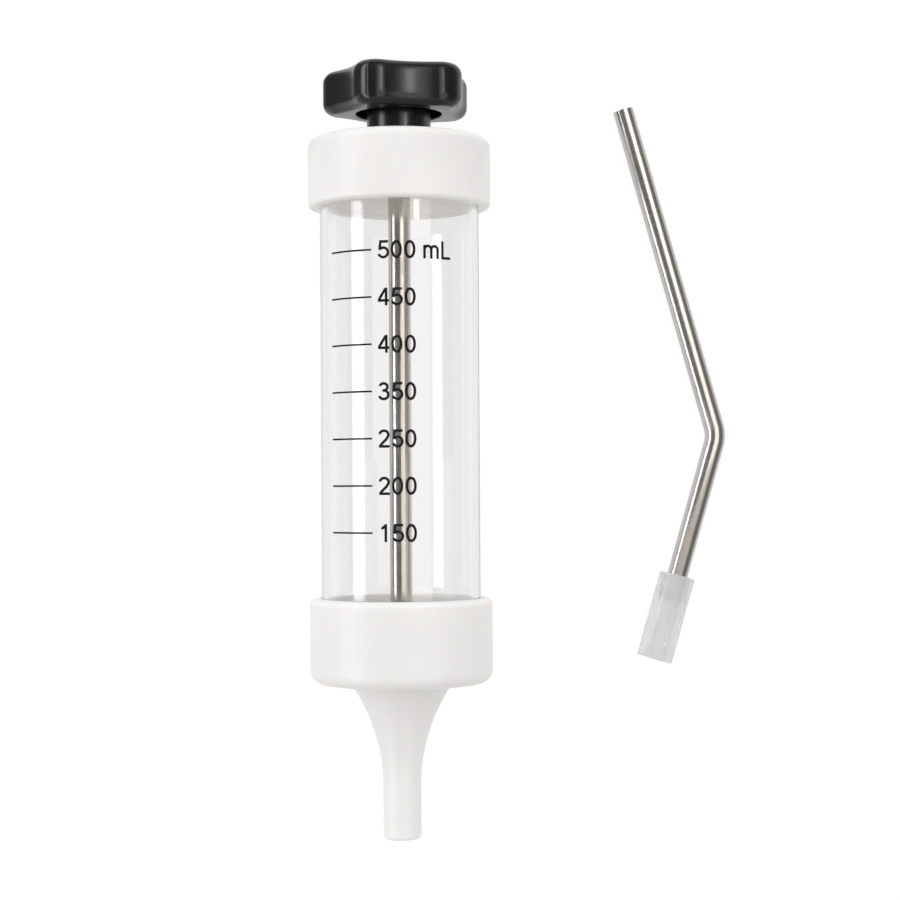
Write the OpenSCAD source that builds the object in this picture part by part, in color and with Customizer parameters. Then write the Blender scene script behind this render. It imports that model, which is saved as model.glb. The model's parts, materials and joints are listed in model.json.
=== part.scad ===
// Livestock drencher: a clear dosing barrel with screw caps, a knobbed plunger, a trumpet nozzle,
// and a bent drench pipe with a soft tip lying beside it. It lies on a table, barrel along Y,
// nozzle towards -Y, knob towards +Y, drench pipe on the +X side.

/* [Barrel] */
// Outside diameter of the clear barrel
barrel_d = 64; // [56:0.5:72]
// Wall of the clear barrel
barrel_wall = 2.5; // [2:0.1:3.5]
// Length of clear barrel that shows between the two caps
barrel_window = 156.9; // [110:0.1:200]

/* [Caps] */
// Wall of both screw caps
cap_wall = 4.45; // [4:0.05:8]
// Height of the top cap
top_cap_h = 27.5; // [24:0.1:34]
// Thickness of the top cap's end wall
top_cap_end_t = 5.5; // [4.8:0.1:7]
// Rounding of the top cap's outer end
top_cap_end_round = 3.3; // [1:0.1:4]
// Rounding of the top cap at its mouth
top_cap_mouth_round = 1.7; // [0.5:0.1:2.5]
// Height of the bottom cap
bottom_cap_h = 34.2; // [30:0.1:42]
// Thickness of the bottom cap's holding floor
bottom_cap_floor_t = 3; // [2:0.1:5]
// Rounding of the bottom cap's outer end
bottom_cap_end_round = 5.2; // [2:0.1:6.5]
// Rounding of the bottom cap at its mouth
bottom_cap_mouth_round = 2.6; // [0.5:0.1:2.8]
// Diameter of each air vent in the top cap
vent_d = 3; // [1:0.1:4]
// Number of air vents in the top cap
vent_count = 2; // [1:1:6]
// Distance of the air vents from the barrel's axis
vent_reach = 19; // [17:0.1:24]

/* [Cap thread] */
// Rise of the cap thread in one turn
thread_pitch = 6; // [5:0.1:8]
// Height of the thread ridge on the barrel
thread_h = 1.2; // [0.6:0.1:1.6]
// Width of the thread ridge at its root
thread_root_w = 2.6; // [2:0.1:3]
// Width of the thread ridge at its crest
thread_crest_w = 1.4; // [1:0.1:2]
// Turns of thread ridge at each end of the barrel
thread_turns = 1.5; // [1:0.25:1.75]

/* [Nozzle] */
// Length of the nozzle below the bottom cap
nozzle_len = 63; // [50:0.1:80]
// Outside diameter of the nozzle's straight tip
nozzle_tip_d = 15.3; // [13.5:0.1:20]
// Length of the nozzle's straight tip
nozzle_tip_len = 21.4; // [18:0.1:30]
// Diameter of the trumpet where it enters the bottom cap
nozzle_neck_d = 41.6; // [36:0.1:46]
// Thickness of the nozzle's flange inside the bottom cap
nozzle_flange_t = 3; // [2:0.1:4]
// Height of the shoulder that ends the drench pipe's socket
shoulder_h = 2.4; // [1:0.1:4]
// Step of that shoulder, on each side
shoulder_step = 0.65; // [0.4:0.05:1.5]
// Thickness of the gasket between the flange and the barrel
gasket_t = 2; // [1:0.1:3]
// Section of the grip ring in the socket
grip_ring_d = 1.8; // [1.2:0.1:2]
// Distance of the grip ring from the nozzle's mouth
grip_ring_inset = 8; // [5:0.1:11]

/* [Plunger] */
// Diameter of the plunger rod
rod_d = 9; // [7.5:0.1:10]
// Step from the rod to its two threaded ends, on each side
rod_step = 1; // [0.6:0.05:1.4]
// Length of the rod's end inside the knob
rod_top_end_len = 13; // [8:0.1:15]
// Wall of the collar above the piston
collar_wall = 1.8; // [1.5:0.1:3]
// Height of the collar above the piston
collar_h = 7.2; // [4:0.1:9]

/* [Knob] */
// Diameter over the knob's lobes
knob_d = 61.5; // [54:0.5:72]
// Depth of the hollows between the knob's lobes
knob_hollow_depth = 5.8; // [5.5:0.1:8]
// Thickness of the knob's lobed head
knob_h = 17.4; // [14:0.1:22]
// Number of lobes
knob_lobes = 5; // [5:1:7]
// Radius of each lobe's tip in plan
knob_lobe_r = 9.2; // [7:0.1:10]
// Turn of the knob at rest
knob_turn = -113; // [-180:0.5:180]
// Rounding of the head's outer edges
knob_edge_round = 4.6; // [1:0.1:5.5]
// Diameter of the hub under the head
knob_hub_d = 25.8; // [22:0.1:30]
// Length of hub below the head
knob_hub_h = 10.2; // [6:0.1:16]
// Width of the well around the hub
knob_well_w = 4.45; // [2:0.05:6]
// Depth of the well around the hub
knob_well_depth = 9; // [3:0.1:11]
// Diameter of the shallow dish in the knob's top
knob_dish_d = 34; // [24:0.1:40]
// Depth of the shallow dish in the knob's top
knob_dish_depth = 0.8; // [0.3:0.1:2]
// Wall of the metal insert in the hub
insert_wall = 2.5; // [1.5:0.1:4]
// Thickness of the metal insert's closed end
insert_end_t = 3; // [1:0.1:5]

/* [Guide bush] */
// Wall of the bush's sleeve
bush_wall = 2.95; // [2:0.05:4]
// Width of the bush's flange beyond its sleeve
bush_flange_w = 5.5; // [3:0.1:7]
// Thickness of the bush's flange
bush_flange_t = 3; // [2:0.1:5]
// Width of the washer under the clip
bush_washer_w = 2.95; // [2:0.05:4]
// Thickness of the washer under the clip
bush_washer_t = 0.8; // [0.5:0.1:1]
// Width of the retaining clip
clip_w = 2.3; // [1.5:0.1:3]
// Thickness of the retaining clip
clip_t = 0.8; // [0.5:0.1:1]
// Depth of the clip's groove in the bush
clip_groove_depth = 0.8; // [0.4:0.1:1.2]
// Height of the bush's lip above the clip
clip_lip_h = 0.95; // [0.5:0.05:1.2]
// Opening of the clip, as an angle
clip_opening = 60; // [30:1:90]
// Space round the washer in the cap's pocket
pocket_gap = 0.5; // [0.3:0.1:1]

/* [Piston] */
// Thickness of the piston's web, between its nut recess and its top
piston_web_t = 8.2; // [6:0.1:14]
// Space between the piston's side and the barrel's bore
piston_gap = 0.4; // [0.2:0.05:0.8]
// Section of each piston ring
ring_d = 3.5; // [2.5:0.1:4]
// Distance of each piston ring's middle from its end of the piston
ring_inset = 4.6; // [3.5:0.1:5]
// Space round the washer in the nut's recess
recess_gap = 3; // [1:0.1:6]
// Depth of the nut below the piston's face
nut_cover = 1.55; // [0.5:0.05:3]
// Distance of the backing plate's rim from the piston's side
plate_inset = 9.1; // [3:0.1:14]
// Thickness of the backing plate
plate_t = 2; // [1:0.1:3]
// Wall of the nut at its flats
nut_wall = 2.5; // [1.8:0.1:3]
// Height of the nut
nut_h = 6; // [4:0.1:6.5]
// Width of the washer above the nut
washer_w = 4.5; // [3.8:0.1:6]
// Thickness of the washer above the nut
washer_t = 1.4; // [0.8:0.1:2]

/* [Drench pipe] */
// Outside diameter of the drench pipe
pipe_d = 8.5; // [7.5:0.1:9.5]
// Wall of the drench pipe
pipe_wall = 0.8; // [0.5:0.1:1.2]
// Length from the plain end to the corner of the bend
pipe_upper_len = 142; // [100:0.5:200]
// Length from the corner of the bend to the mouth of the soft tip
pipe_lower_len = 61; // [40:0.5:90]
// Angle that the pipe is bent through
pipe_bend = 32; // [20:0.5:50]
// Radius of the bend at the pipe's middle
pipe_bend_r = 15; // [12:0.5:25]
// Distance of the bend's corner from the barrel's axis
pipe_corner_x = 131.8; // [110:0.1:180]
// Distance of the bend's corner from the nozzle's mouth, along the barrel
pipe_corner_y = 162.8; // [120:0.1:180]
// Turn of the pipe's long leg from the barrel's axis as it lies
pipe_lay = 15.7; // [0:0.1:25]

/* [Soft tip] */
// Wall of the soft tip round the pipe
tip_wall = 3.15; // [2:0.05:5]
// Length of the soft tip
tip_len = 36.3; // [25:0.1:50]
// Step from the pipe's seat in the soft tip to its outlet, on each side
tip_step = 1.3; // [0.8:0.05:2.5]
// Depth that the pipe goes into the soft tip
tip_seat = 11.3; // [8:0.1:18]
// Rounding of the soft tip's ends
tip_round = 0.8; // [0.3:0.1:1.5]

/* [Fits] */
// Space on each side of a shaft that turns or slides in a bore
running_gap = 0.05; // [0.02:0.01:0.08]
// Space between parts that seat on each other but come apart
seat_gap = 0.3; // [0.2:0.05:0.4]

/* [Hidden] */
$fn = 96;
overrun = 1;
// Arc steps in a quarter round, and thread facets in one turn
round_steps = 8;
flare_steps = 20;
thread_sides = 36;
// The ridge is sunk this deep in its wall, so that the two are one solid
thread_sink = 0.5;

// Radii
barrel_r = barrel_d / 2;
bore_r = barrel_r - barrel_wall;
cap_bore_r = barrel_r + seat_gap;
cap_r = cap_bore_r + cap_wall;
flange_r = cap_bore_r - seat_gap;
pipe_r = pipe_d / 2;
socket_r = pipe_r + running_gap;
flow_r = socket_r - shoulder_step;
tip_r = nozzle_tip_d / 2;
neck_r = nozzle_neck_d / 2;
rod_r = rod_d / 2;
rod_hole_r = rod_r + running_gap;
rod_end_r = rod_r - rod_step;
rod_end_hole_r = rod_end_r + running_gap;
collar_r = rod_end_r + collar_wall;
bush_r = rod_hole_r + bush_wall;
bush_hole_r = bush_r + running_gap;
bush_flange_r = bush_r + bush_flange_w;
bush_washer_r = bush_hole_r + bush_washer_w;
clip_groove_r = bush_r - clip_groove_depth;
pocket_r = bush_washer_r + pocket_gap;
piston_r = bore_r - piston_gap;
plate_r = piston_r - plate_inset;
washer_r = rod_end_r + washer_w;
recess_r = washer_r + recess_gap;
nut_r = (rod_end_r + nut_wall) / cos(30);
knob_r = knob_d / 2;
hub_r = knob_hub_d / 2;
well_r = hub_r + knob_well_w;
insert_r = rod_end_r + insert_wall;
insert_len = rod_top_end_len + insert_end_t;
seat_r = pipe_r + running_gap;
soft_r = seat_r + tip_wall;
outlet_r = seat_r - tip_step;

// Stations along the barrel's axis, counted from the nozzle's mouth
s_shoulder = nozzle_tip_len - shoulder_h;
s_cap_base = nozzle_len;
s_floor = s_cap_base + bottom_cap_floor_t;
s_flange = s_floor + running_gap;
s_flange_top = s_flange + nozzle_flange_t;
s_barrel = s_flange_top + gasket_t;
s_low_mouth = s_cap_base + bottom_cap_h;
s_top_mouth = s_low_mouth + barrel_window;
s_cap_top = s_top_mouth + top_cap_h;
s_end_wall = s_cap_top - top_cap_end_t;
s_barrel_top = s_end_wall - seat_gap;
s_clip_top = s_cap_top - clip_lip_h;
s_clip = s_clip_top - clip_t;
s_bush_washer = s_clip - bush_washer_t;
s_pocket = s_bush_washer - running_gap;
s_bush_flange = s_end_wall - running_gap;
s_bush = s_bush_flange - bush_flange_t;
s_piston = s_flange_top + seat_gap;
s_nut = s_piston + nut_cover;
s_washer = s_nut + nut_h;
s_washer_top = s_washer + washer_t;
s_recess = s_washer_top + running_gap;
s_piston_top = s_recess + piston_web_t;
s_plate_top = s_piston_top + plate_t;
s_collar = s_plate_top + running_gap;
s_collar_top = s_collar + collar_h;
s_hub = s_cap_top + seat_gap;
s_rod_top = s_hub + rod_top_end_len;
s_knob = s_hub + knob_hub_h;
s_knob_top = s_knob + knob_h;
s_well = s_knob + knob_well_depth;
ring_stations = [s_piston + ring_inset, s_piston_top - ring_inset];

// Piston rings and grip ring, each a round section in its groove
ring_sec_r = ring_d / 2;
ring_mid_r = bore_r - running_gap - ring_sec_r;
ring_groove_r = ring_mid_r - ring_sec_r - running_gap;
ring_groove_w = ring_d + 2 * running_gap;
grip_sec_r = grip_ring_d / 2;
grip_mid_r = socket_r + running_gap + grip_sec_r;
grip_groove_r = grip_mid_r + grip_sec_r + running_gap;
grip_groove_w = grip_ring_d + 2 * running_gap;

// Trumpet: an arc tangent to the straight tip that reaches the neck radius at the cap
flare_h = nozzle_len - nozzle_tip_len;
flare_out = neck_r - tip_r;
flare_r = (flare_h * flare_h + flare_out * flare_out) / (2 * flare_out);
flare_mid_r = tip_r + flare_r;
flare_inner_r = flare_mid_r - flow_r;

// Thread ridge and its groove
thread_crest_r = barrel_r + thread_h;
thread_slope = (thread_root_w - thread_crest_w) / thread_h;
thread_land = thread_root_w / 2 + seat_gap;
thread_rise = thread_turns * thread_pitch;
low_thread_s = s_barrel + thread_land;
top_thread_s = s_barrel_top - thread_land - thread_rise;
// Each groove starts this share of a turn before its ridge, and runs out past the cap's mouth
thread_lead_share = 0.05;
low_groove_turns = ceil((s_low_mouth - low_thread_s) / thread_pitch) + 1;
top_groove_turns = ceil((top_thread_s - s_top_mouth) / thread_pitch) + 1;

// Lobed outline: tip arcs joined by hollow arcs that are tangent to them
lobe_angle = 360 / knob_lobes;
lobe_mid_r = knob_r - knob_lobe_r;
hollow_r = knob_r - knob_hollow_depth;
half_cos = cos(lobe_angle / 2);
dent_r = (lobe_mid_r * lobe_mid_r + hollow_r * hollow_r - 2 * lobe_mid_r * hollow_r * half_cos
    - knob_lobe_r * knob_lobe_r) / (2 * (knob_lobe_r - hollow_r + lobe_mid_r * half_cos));
dent_mid_r = hollow_r + dent_r;
lobe_half = asin(sin(lobe_angle / 2) * dent_mid_r / (dent_r + knob_lobe_r));
dent_half = lobe_half - lobe_angle / 2;

// Drench pipe as it lies: its long leg and the rim of the soft tip touch the table
bend_tangent = pipe_bend_r * tan(pipe_bend / 2);
upper_run = pipe_upper_len - bend_tangent;
lower_run = pipe_lower_len - bend_tangent;
pipe_roll = asin((soft_r - pipe_r) / (pipe_lower_len * sin(pipe_bend)));
bend_mid_x = pipe_corner_x - pipe_bend_r / cos(pipe_bend / 2);

// The origin is under the middle of the whole part's box
middle_x = (bend_mid_x + pipe_bend_r + pipe_r - cap_r) / 2;
middle_y = s_knob_top / 2;

white = [0.93, 0.93, 0.91];
clear = [0.85, 0.9, 0.92, 0.4];
steel = [0.72, 0.72, 0.7];
dark = [0.16, 0.16, 0.17];
rubber = [0.1, 0.1, 0.1];
brass = [0.78, 0.62, 0.3];
silicone = [0.86, 0.88, 0.86, 0.7];

// A point at a radius and an angle
function polar(radius, angle) = radius * [cos(angle), sin(angle)];

// Points of an arc about a centre, from one angle to another
function arc(centre, radius, from, to, steps = round_steps) = [
    for (i = [0 : steps])
        centre + polar(radius, from + (to - from) * i / steps)
];

// Width of the thread ridge at a radius
function ridge_w(radius) = thread_crest_w + thread_slope * (thread_crest_r - radius);

// Lays a shape that is built along Z on the table, with its axis along Y
module on_table() {
    translate([-middle_x, -middle_y, cap_r])
        rotate([-90, 0, 0])
            children();
}

// A ring with square edges between two stations
module ring(inner_r, outer_r, from, to) {
    rotate_extrude()
        translate([inner_r, from])
            square([outer_r - inner_r, to - from]);
}

// A helical ridge of four-sided section: radii, widths at those radii, station at turn zero, turns
module helix(inner_r, outer_r, inner_w, outer_w, station, first, last) {
    steps = ceil((last - first) * thread_sides);
    section = [
        [inner_r, -inner_w / 2], [outer_r, -outer_w / 2], [outer_r, outer_w / 2], [inner_r, inner_w / 2]
    ];
    corners = len(section);
    points = [
        for (i = [0 : steps], p = section)
            let (turn = first + (last - first) * i / steps)
                concat(polar(p[0], 360 * turn), station + thread_pitch * turn + p[1])
    ];
    sides = [
        for (i = [0 : steps - 1], j = [0 : corners - 1])
            let (a = i * corners + j, b = i * corners + (j + 1) % corners)
                each [[a, b, a + corners], [b, b + corners, a + corners]]
    ];
    end = steps * corners;
    ends = [[2, 1, 0], [3, 2, 0], [end, end + 1, end + 2], [end, end + 2, end + 3]];
    polyhedron(points, concat(sides, ends));
}

// The ridge on the barrel
module thread_ridge(station) {
    root_r = barrel_r - thread_sink;
    helix(root_r, thread_crest_r, ridge_w(root_r), thread_crest_w, station, 0, thread_turns);
}

// The groove in a cap that the ridge runs in
module thread_groove(station, first, last) {
    root_r = cap_bore_r - thread_sink;
    crest_r = thread_crest_r + seat_gap;
    root_w = ridge_w(root_r) + 2 * seat_gap;
    crest_w = ridge_w(crest_r) + 2 * seat_gap;
    helix(root_r, crest_r, root_w, crest_w, station, first, last);
}

module barrel_tube() {
    color(clear)
        on_table()
            union() {
                ring(bore_r, barrel_r, s_barrel, s_barrel_top);
                thread_ridge(low_thread_s);
                thread_ridge(top_thread_s);
            }
}

module top_cap() {
    end_round = top_cap_end_round;
    mouth_round = top_cap_mouth_round;
    outline = concat(
        [[bush_hole_r, s_end_wall], [cap_bore_r, s_end_wall], [cap_bore_r, s_top_mouth]],
        arc([cap_r - mouth_round, s_top_mouth + mouth_round], mouth_round, -90, 0),
        arc([cap_r - end_round, s_cap_top - end_round], end_round, 0, 90),
        [[pocket_r, s_cap_top], [pocket_r, s_pocket], [bush_hole_r, s_pocket]]
    );
    color(white)
        on_table()
            difference() {
                rotate_extrude()
                    polygon(outline);
                thread_groove(top_thread_s, -top_groove_turns, thread_turns + thread_lead_share);
                for (i = [0 : vent_count - 1])
                    rotate([0, 0, 360 * i / vent_count])
                        translate([vent_reach, 0, s_end_wall - overrun])
                            cylinder(h = top_cap_end_t + 2 * overrun, d = vent_d);
            }
}

module guide_bush() {
    outline = [
        [rod_hole_r, s_bush], [bush_flange_r, s_bush], [bush_flange_r, s_bush_flange],
        [bush_r, s_bush_flange], [bush_r, s_clip], [clip_groove_r, s_clip], [clip_groove_r, s_clip_top],
        [bush_r, s_clip_top], [bush_r, s_cap_top], [rod_hole_r, s_cap_top]
    ];
    color(white)
        on_table()
            rotate_extrude()
                polygon(outline);
}

module guide_washer() {
    color(steel)
        on_table()
            ring(bush_hole_r, bush_washer_r, s_bush_washer, s_clip);
}

module guide_clip() {
    color(steel)
        on_table()
            rotate([0, 0, clip_opening / 2])
                rotate_extrude(angle = 360 - clip_opening)
                    translate([clip_groove_r, s_clip])
                        square([clip_w, clip_t]);
}

module plunger_rod() {
    outline = [
        [0, s_nut], [rod_end_r, s_nut], [rod_end_r, s_collar_top], [rod_r, s_collar_top], [rod_r, s_hub],
        [rod_end_r, s_hub], [rod_end_r, s_rod_top], [0, s_rod_top]
    ];
    color(steel)
        on_table()
            rotate_extrude()
                polygon(outline);
}

module rod_collar() {
    color(steel)
        on_table()
            ring(rod_end_r, collar_r, s_collar, s_collar_top);
}

// Lobed plan of the knob: one tip arc and one hollow arc for each lobe
function knob_plan() = [
    for (i = [0 : knob_lobes - 1])
        let (turn = i * lobe_angle, next = turn + lobe_angle / 2)
            each concat(
                arc(polar(lobe_mid_r, turn), knob_lobe_r, turn - lobe_half, turn + lobe_half),
                arc(polar(dent_mid_r, next), dent_r, next + 180 + dent_half, next + 180 - dent_half)
            )
];

module knob() {
    edge = knob_edge_round;
    side = concat(
        [[0, s_knob]],
        arc([knob_r - edge, s_knob + edge], edge, -90, 0),
        arc([knob_r - edge, s_knob_top - edge], edge, 0, 90),
        [[knob_dish_d / 2, s_knob_top], [knob_dish_d / 2 - knob_dish_depth, s_knob_top - knob_dish_depth],
        [0, s_knob_top - knob_dish_depth]]
    );
    color(dark)
        on_table()
            difference() {
                union() {
                    difference() {
                        intersection() {
                            rotate([0, 0, knob_turn])
                                translate([0, 0, s_knob])
                                    linear_extrude(knob_h)
                                        polygon(knob_plan());
                            rotate_extrude()
                                polygon(side);
                        }
                        translate([0, 0, s_knob - overrun])
                            cylinder(h = knob_well_depth + overrun, r = well_r);
                    }
                    translate([0, 0, s_hub])
                        cylinder(h = s_well - s_hub, r = hub_r);
                }
                translate([0, 0, s_hub - overrun])
                    cylinder(h = insert_len + overrun, r = insert_r);
            }
}

module knob_insert() {
    color(brass)
        on_table()
            difference() {
                translate([0, 0, s_hub])
                    cylinder(h = insert_len, r = insert_r);
                translate([0, 0, s_hub - overrun])
                    cylinder(h = rod_top_end_len + overrun, r = rod_end_r);
            }
}

module piston_core() {
    color(white)
        on_table()
            difference() {
                ring(rod_end_hole_r, piston_r, s_piston, s_piston_top);
                for (station = ring_stations)
                    translate([0, 0, station - ring_groove_w / 2])
                        ring(ring_groove_r, piston_r + overrun, 0, ring_groove_w);
                translate([0, 0, s_piston - overrun])
                    cylinder(h = s_recess - s_piston + overrun, r = recess_r);
            }
}

// One round rubber ring in its groove round the piston
module piston_ring(station) {
    color(rubber)
        on_table()
            rotate_extrude()
                translate([ring_mid_r, station])
                    circle(ring_sec_r);
}

module piston_ring_lower() {
    piston_ring(ring_stations[0]);
}

module piston_ring_upper() {
    piston_ring(ring_stations[1]);
}

module piston_plate() {
    color(steel)
        on_table()
            ring(rod_end_hole_r, plate_r, s_piston_top, s_plate_top);
}

module piston_washer() {
    color(steel)
        on_table()
            ring(rod_end_r, washer_r, s_washer, s_washer_top);
}

module piston_nut() {
    color(steel)
        on_table()
            difference() {
                translate([0, 0, s_nut])
                    cylinder(h = nut_h, r = nut_r, $fn = 6);
                translate([0, 0, s_nut - overrun])
                    cylinder(h = nut_h + 2 * overrun, r = rod_end_r);
            }
}

module bottom_cap() {
    end_round = bottom_cap_end_round;
    mouth_round = bottom_cap_mouth_round;
    outline = concat(
        [[neck_r + seat_gap, s_cap_base]],
        arc([cap_r - end_round, s_cap_base + end_round], end_round, -90, 0),
        arc([cap_r - mouth_round, s_low_mouth - mouth_round], mouth_round, 0, 90),
        [[cap_bore_r, s_low_mouth], [cap_bore_r, s_floor], [neck_r + seat_gap, s_floor]]
    );
    color(white)
        on_table()
            difference() {
                rotate_extrude()
                    polygon(outline);
                thread_groove(low_thread_s, -thread_lead_share, low_groove_turns);
            }
}

module nozzle() {
    inner_end = asin((s_flange_top - nozzle_tip_len) / flare_inner_r);
    outer_end = asin(flare_h / flare_r);
    centre = [flare_mid_r, nozzle_tip_len];
    mouth_round = (tip_r - socket_r) / 2;
    outline = concat(
        [[socket_r, 0]],
        arc([tip_r - mouth_round, mouth_round], mouth_round, -90, 0),
        arc(centre, flare_r, 180, 180 - outer_end, flare_steps),
        [[neck_r, s_flange], [flange_r, s_flange], [flange_r, s_flange_top]],
        arc(centre, flare_inner_r, 180 - inner_end, 180, flare_steps),
        [[flow_r, s_shoulder], [socket_r, s_shoulder]]
    );
    color(white)
        on_table()
            difference() {
                rotate_extrude()
                    polygon(outline);
                translate([0, 0, grip_ring_inset - grip_groove_w / 2])
                    ring(socket_r - overrun, grip_groove_r, 0, grip_groove_w);
            }
}

module nozzle_gasket() {
    color(rubber)
        on_table()
            ring(bore_r + seat_gap, flange_r, s_flange_top, s_barrel);
}

module nozzle_grip_ring() {
    color(rubber)
        on_table()
            rotate_extrude()
                translate([grip_mid_r, grip_ring_inset])
                    circle(grip_sec_r);
}

// Lays a shape of the pipe's own frame on the table: long leg along Y, bend at the origin
module pipe_on_table() {
    translate([-middle_x, -middle_y, pipe_r])
        translate([pipe_corner_x, pipe_corner_y, 0])
            rotate([0, pipe_roll, pipe_lay])
                translate([0, bend_tangent, 0])
                    children();
}

// Turns a shape built along Z to run down the pipe's short leg, from the end of the bend
module along_lower_leg() {
    translate([-pipe_bend_r, 0, 0])
        rotate([0, 0, -pipe_bend])
            translate([pipe_bend_r, 0, 0])
                rotate([90, 0, 0])
                    children();
}

// The pipe's section: a thin round wall
module pipe_section() {
    difference() {
        circle(pipe_r);
        circle(pipe_r - pipe_wall);
    }
}

module drench_pipe() {
    color(steel)
        pipe_on_table()
            union() {
                rotate([-90, 0, 0])
                    linear_extrude(upper_run)
                        pipe_section();
                translate([-pipe_bend_r, 0, 0])
                    rotate([0, 0, -pipe_bend])
                        rotate_extrude(angle = pipe_bend)
                            translate([pipe_bend_r, 0])
                                pipe_section();
                along_lower_leg()
                    linear_extrude(lower_run + tip_seat)
                        pipe_section();
            }
}

module soft_tip() {
    seat_end = tip_seat + running_gap;
    outline = concat(
        [[seat_r, 0]],
        arc([soft_r - tip_round, tip_round], tip_round, -90, 0),
        arc([soft_r - tip_round, tip_len - tip_round], tip_round, 0, 90),
        [[outlet_r, tip_len], [outlet_r, seat_end], [seat_r, seat_end]]
    );
    color(silicone)
        pipe_on_table()
            along_lower_leg()
                translate([0, 0, lower_run])
                    rotate_extrude()
                        polygon(outline);
}

barrel_tube();
top_cap();
guide_bush();
guide_washer();
guide_clip();
plunger_rod();
rod_collar();
knob();
knob_insert();
piston_core();
piston_ring_lower();
piston_ring_upper();
piston_plate();
piston_washer();
piston_nut();
bottom_cap();
nozzle();
nozzle_gasket();
nozzle_grip_ring();
drench_pipe();
soft_tip();
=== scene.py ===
"""Livestock drencher: its pieces as numpy surfaces, their finishes, and a white studio table."""

import json
import math
from collections import namedtuple

import bmesh
import bpy
import numpy as np
from bpy.props import FloatProperty, FloatVectorProperty, IntProperty, PointerProperty, StringProperty
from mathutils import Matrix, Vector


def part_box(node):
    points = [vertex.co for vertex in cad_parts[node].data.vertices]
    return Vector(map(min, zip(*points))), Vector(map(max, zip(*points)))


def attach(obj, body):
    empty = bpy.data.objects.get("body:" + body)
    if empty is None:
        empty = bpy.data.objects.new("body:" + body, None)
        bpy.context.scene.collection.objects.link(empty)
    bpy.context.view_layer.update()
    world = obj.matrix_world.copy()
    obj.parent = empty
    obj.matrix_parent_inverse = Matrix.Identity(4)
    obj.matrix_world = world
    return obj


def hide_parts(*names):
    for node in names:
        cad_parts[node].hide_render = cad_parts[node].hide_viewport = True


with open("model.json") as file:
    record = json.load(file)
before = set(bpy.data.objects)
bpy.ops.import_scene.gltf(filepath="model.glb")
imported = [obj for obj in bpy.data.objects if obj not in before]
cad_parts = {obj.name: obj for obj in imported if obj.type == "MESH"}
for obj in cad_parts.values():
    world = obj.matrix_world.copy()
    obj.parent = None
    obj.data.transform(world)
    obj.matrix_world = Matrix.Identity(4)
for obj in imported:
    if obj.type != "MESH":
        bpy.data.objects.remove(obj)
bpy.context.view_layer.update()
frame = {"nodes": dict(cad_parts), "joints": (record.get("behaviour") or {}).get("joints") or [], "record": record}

bl_info = {
    "name": "Livestock drencher",
    "version": (1, 0, 0),
    "blender": (4, 5, 0),
    "location": "3D View > Sidebar > Drencher",
    "description": "Builds the barrel, caps, plunger, nozzle and drench pipe of a livestock drencher",
    "category": "Add Mesh",
}

MM = 0.001
FULL_TURN = 2 * math.pi
WHITE = (1.0, 1.0, 1.0)
# Points round a piece, round the pipe and its tip, round a vent, round the knob and round the nut
AROUND = 160
AROUND_PIPE = 80
AROUND_VENT = 40
AROUND_KNOB = 800
AROUND_NUT = 144
# Steps in a rounded corner, the knob's edge, the nozzle's flare and a card, and rows along the pipe's bend
CORNER_STEPS = 6
KNOB_EDGE_STEPS = 12
FLARE_STEPS = 48
CARD_STEPS = 12
BEND_ROWS = 24
# An edge that turns by more than this is sharp
SHARP_ANGLE = math.radians(35)
# Rows of points across the thread's root, on the barrel and in the caps
RIDGE_ROWS = 10
GROOVE_ROWS = 8
# Shares of a turn: how far a thread takes to fade out, and how far a groove outruns the barrel's ridge
FADE_SHARE = 0.04
LEAD_SHARE = 0.05
# The printed scale stands this far off the barrel, and joins points closer than this share of a tick's width
PRINT_LIFT = 0.03 * MM
JOIN_SHARE = 0.001
# How strongly noise mixes in its finer lumps, and the part of its values that spans a range or two shades
NOISE_ROUGHNESS = 0.55
RANGE_SHARES = (0.3, 0.7)
SHADE_SHARES = (0.35, 0.65)
# Lowest and highest roughness across a metal's polishing lines, as factors of its own roughness
METAL_ROUGHNESS = (0.75, 1.25)
# The table: half its width, the tone of its paint, its glow where it is seen, and the distance at which its
# mirrored sheet has faded out, in half widths of the sheet
TABLE_HALF = 4
TABLE_PAINT = 0.9
TABLE_GLOW = 1.04
SHEET_FADED = 1.25
# The photo's frame and how far the lens is shifted up in it, in pixels
FRAME_PIXELS = 900
SHIFT_PIXELS = 38

SOCKET, PIPE = (
    next(mount for mount in frame["record"]["mounts"] if mount["name"] == name)
    for name in ("nozzle_socket", "drench_pipe_end"))
# Stations along the barrel are counted from the middle of the nozzle's mouth
MOUTH = np.array(SOCKET["pos_m"])
SOCKET_RADIUS = SOCKET["dims"]["r_mm"] * MM
SOCKET_DEPTH = SOCKET["dims"]["length_mm"] * MM
PIPE_RADIUS = PIPE["dims"]["r_mm"] * MM
PIPE_RUN = PIPE["dims"]["length_mm"] * MM
PIPE_END = np.array(PIPE["pos_m"])
PIPE_AXIS = -np.array(PIPE["axis"])
TIP_AXIS = np.array(next(joint["axis"] for joint in frame["joints"] if joint["name"] == "soft_tip_pull"))

Span = namedtuple("Span", "start end radius")


def span(node):
    """A CAD node's two end stations along the barrel, and half its width."""
    low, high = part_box(node)
    return Span(low.y - MOUTH[1], high.y - MOUTH[1], (high.x - low.x) / 2)


def length(name, description, default):
    """A property that holds a length in metres."""
    return FloatProperty(name=name, description=description, default=default, unit="LENGTH", precision=5)


def angle(name, description, degrees):
    """A property that holds an angle."""
    return FloatProperty(name=name, description=description, default=math.radians(degrees), subtype="ANGLE")


def share(name, description, default):
    """A property that holds a share from 0 to 1."""
    return FloatProperty(name=name, description=description, default=default, min=0, max=1, subtype="FACTOR")


def colour(name, description, default):
    """A property that holds a colour."""
    return FloatVectorProperty(
        name=name, description=description, default=default, min=0, max=1, subtype="COLOR")


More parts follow.
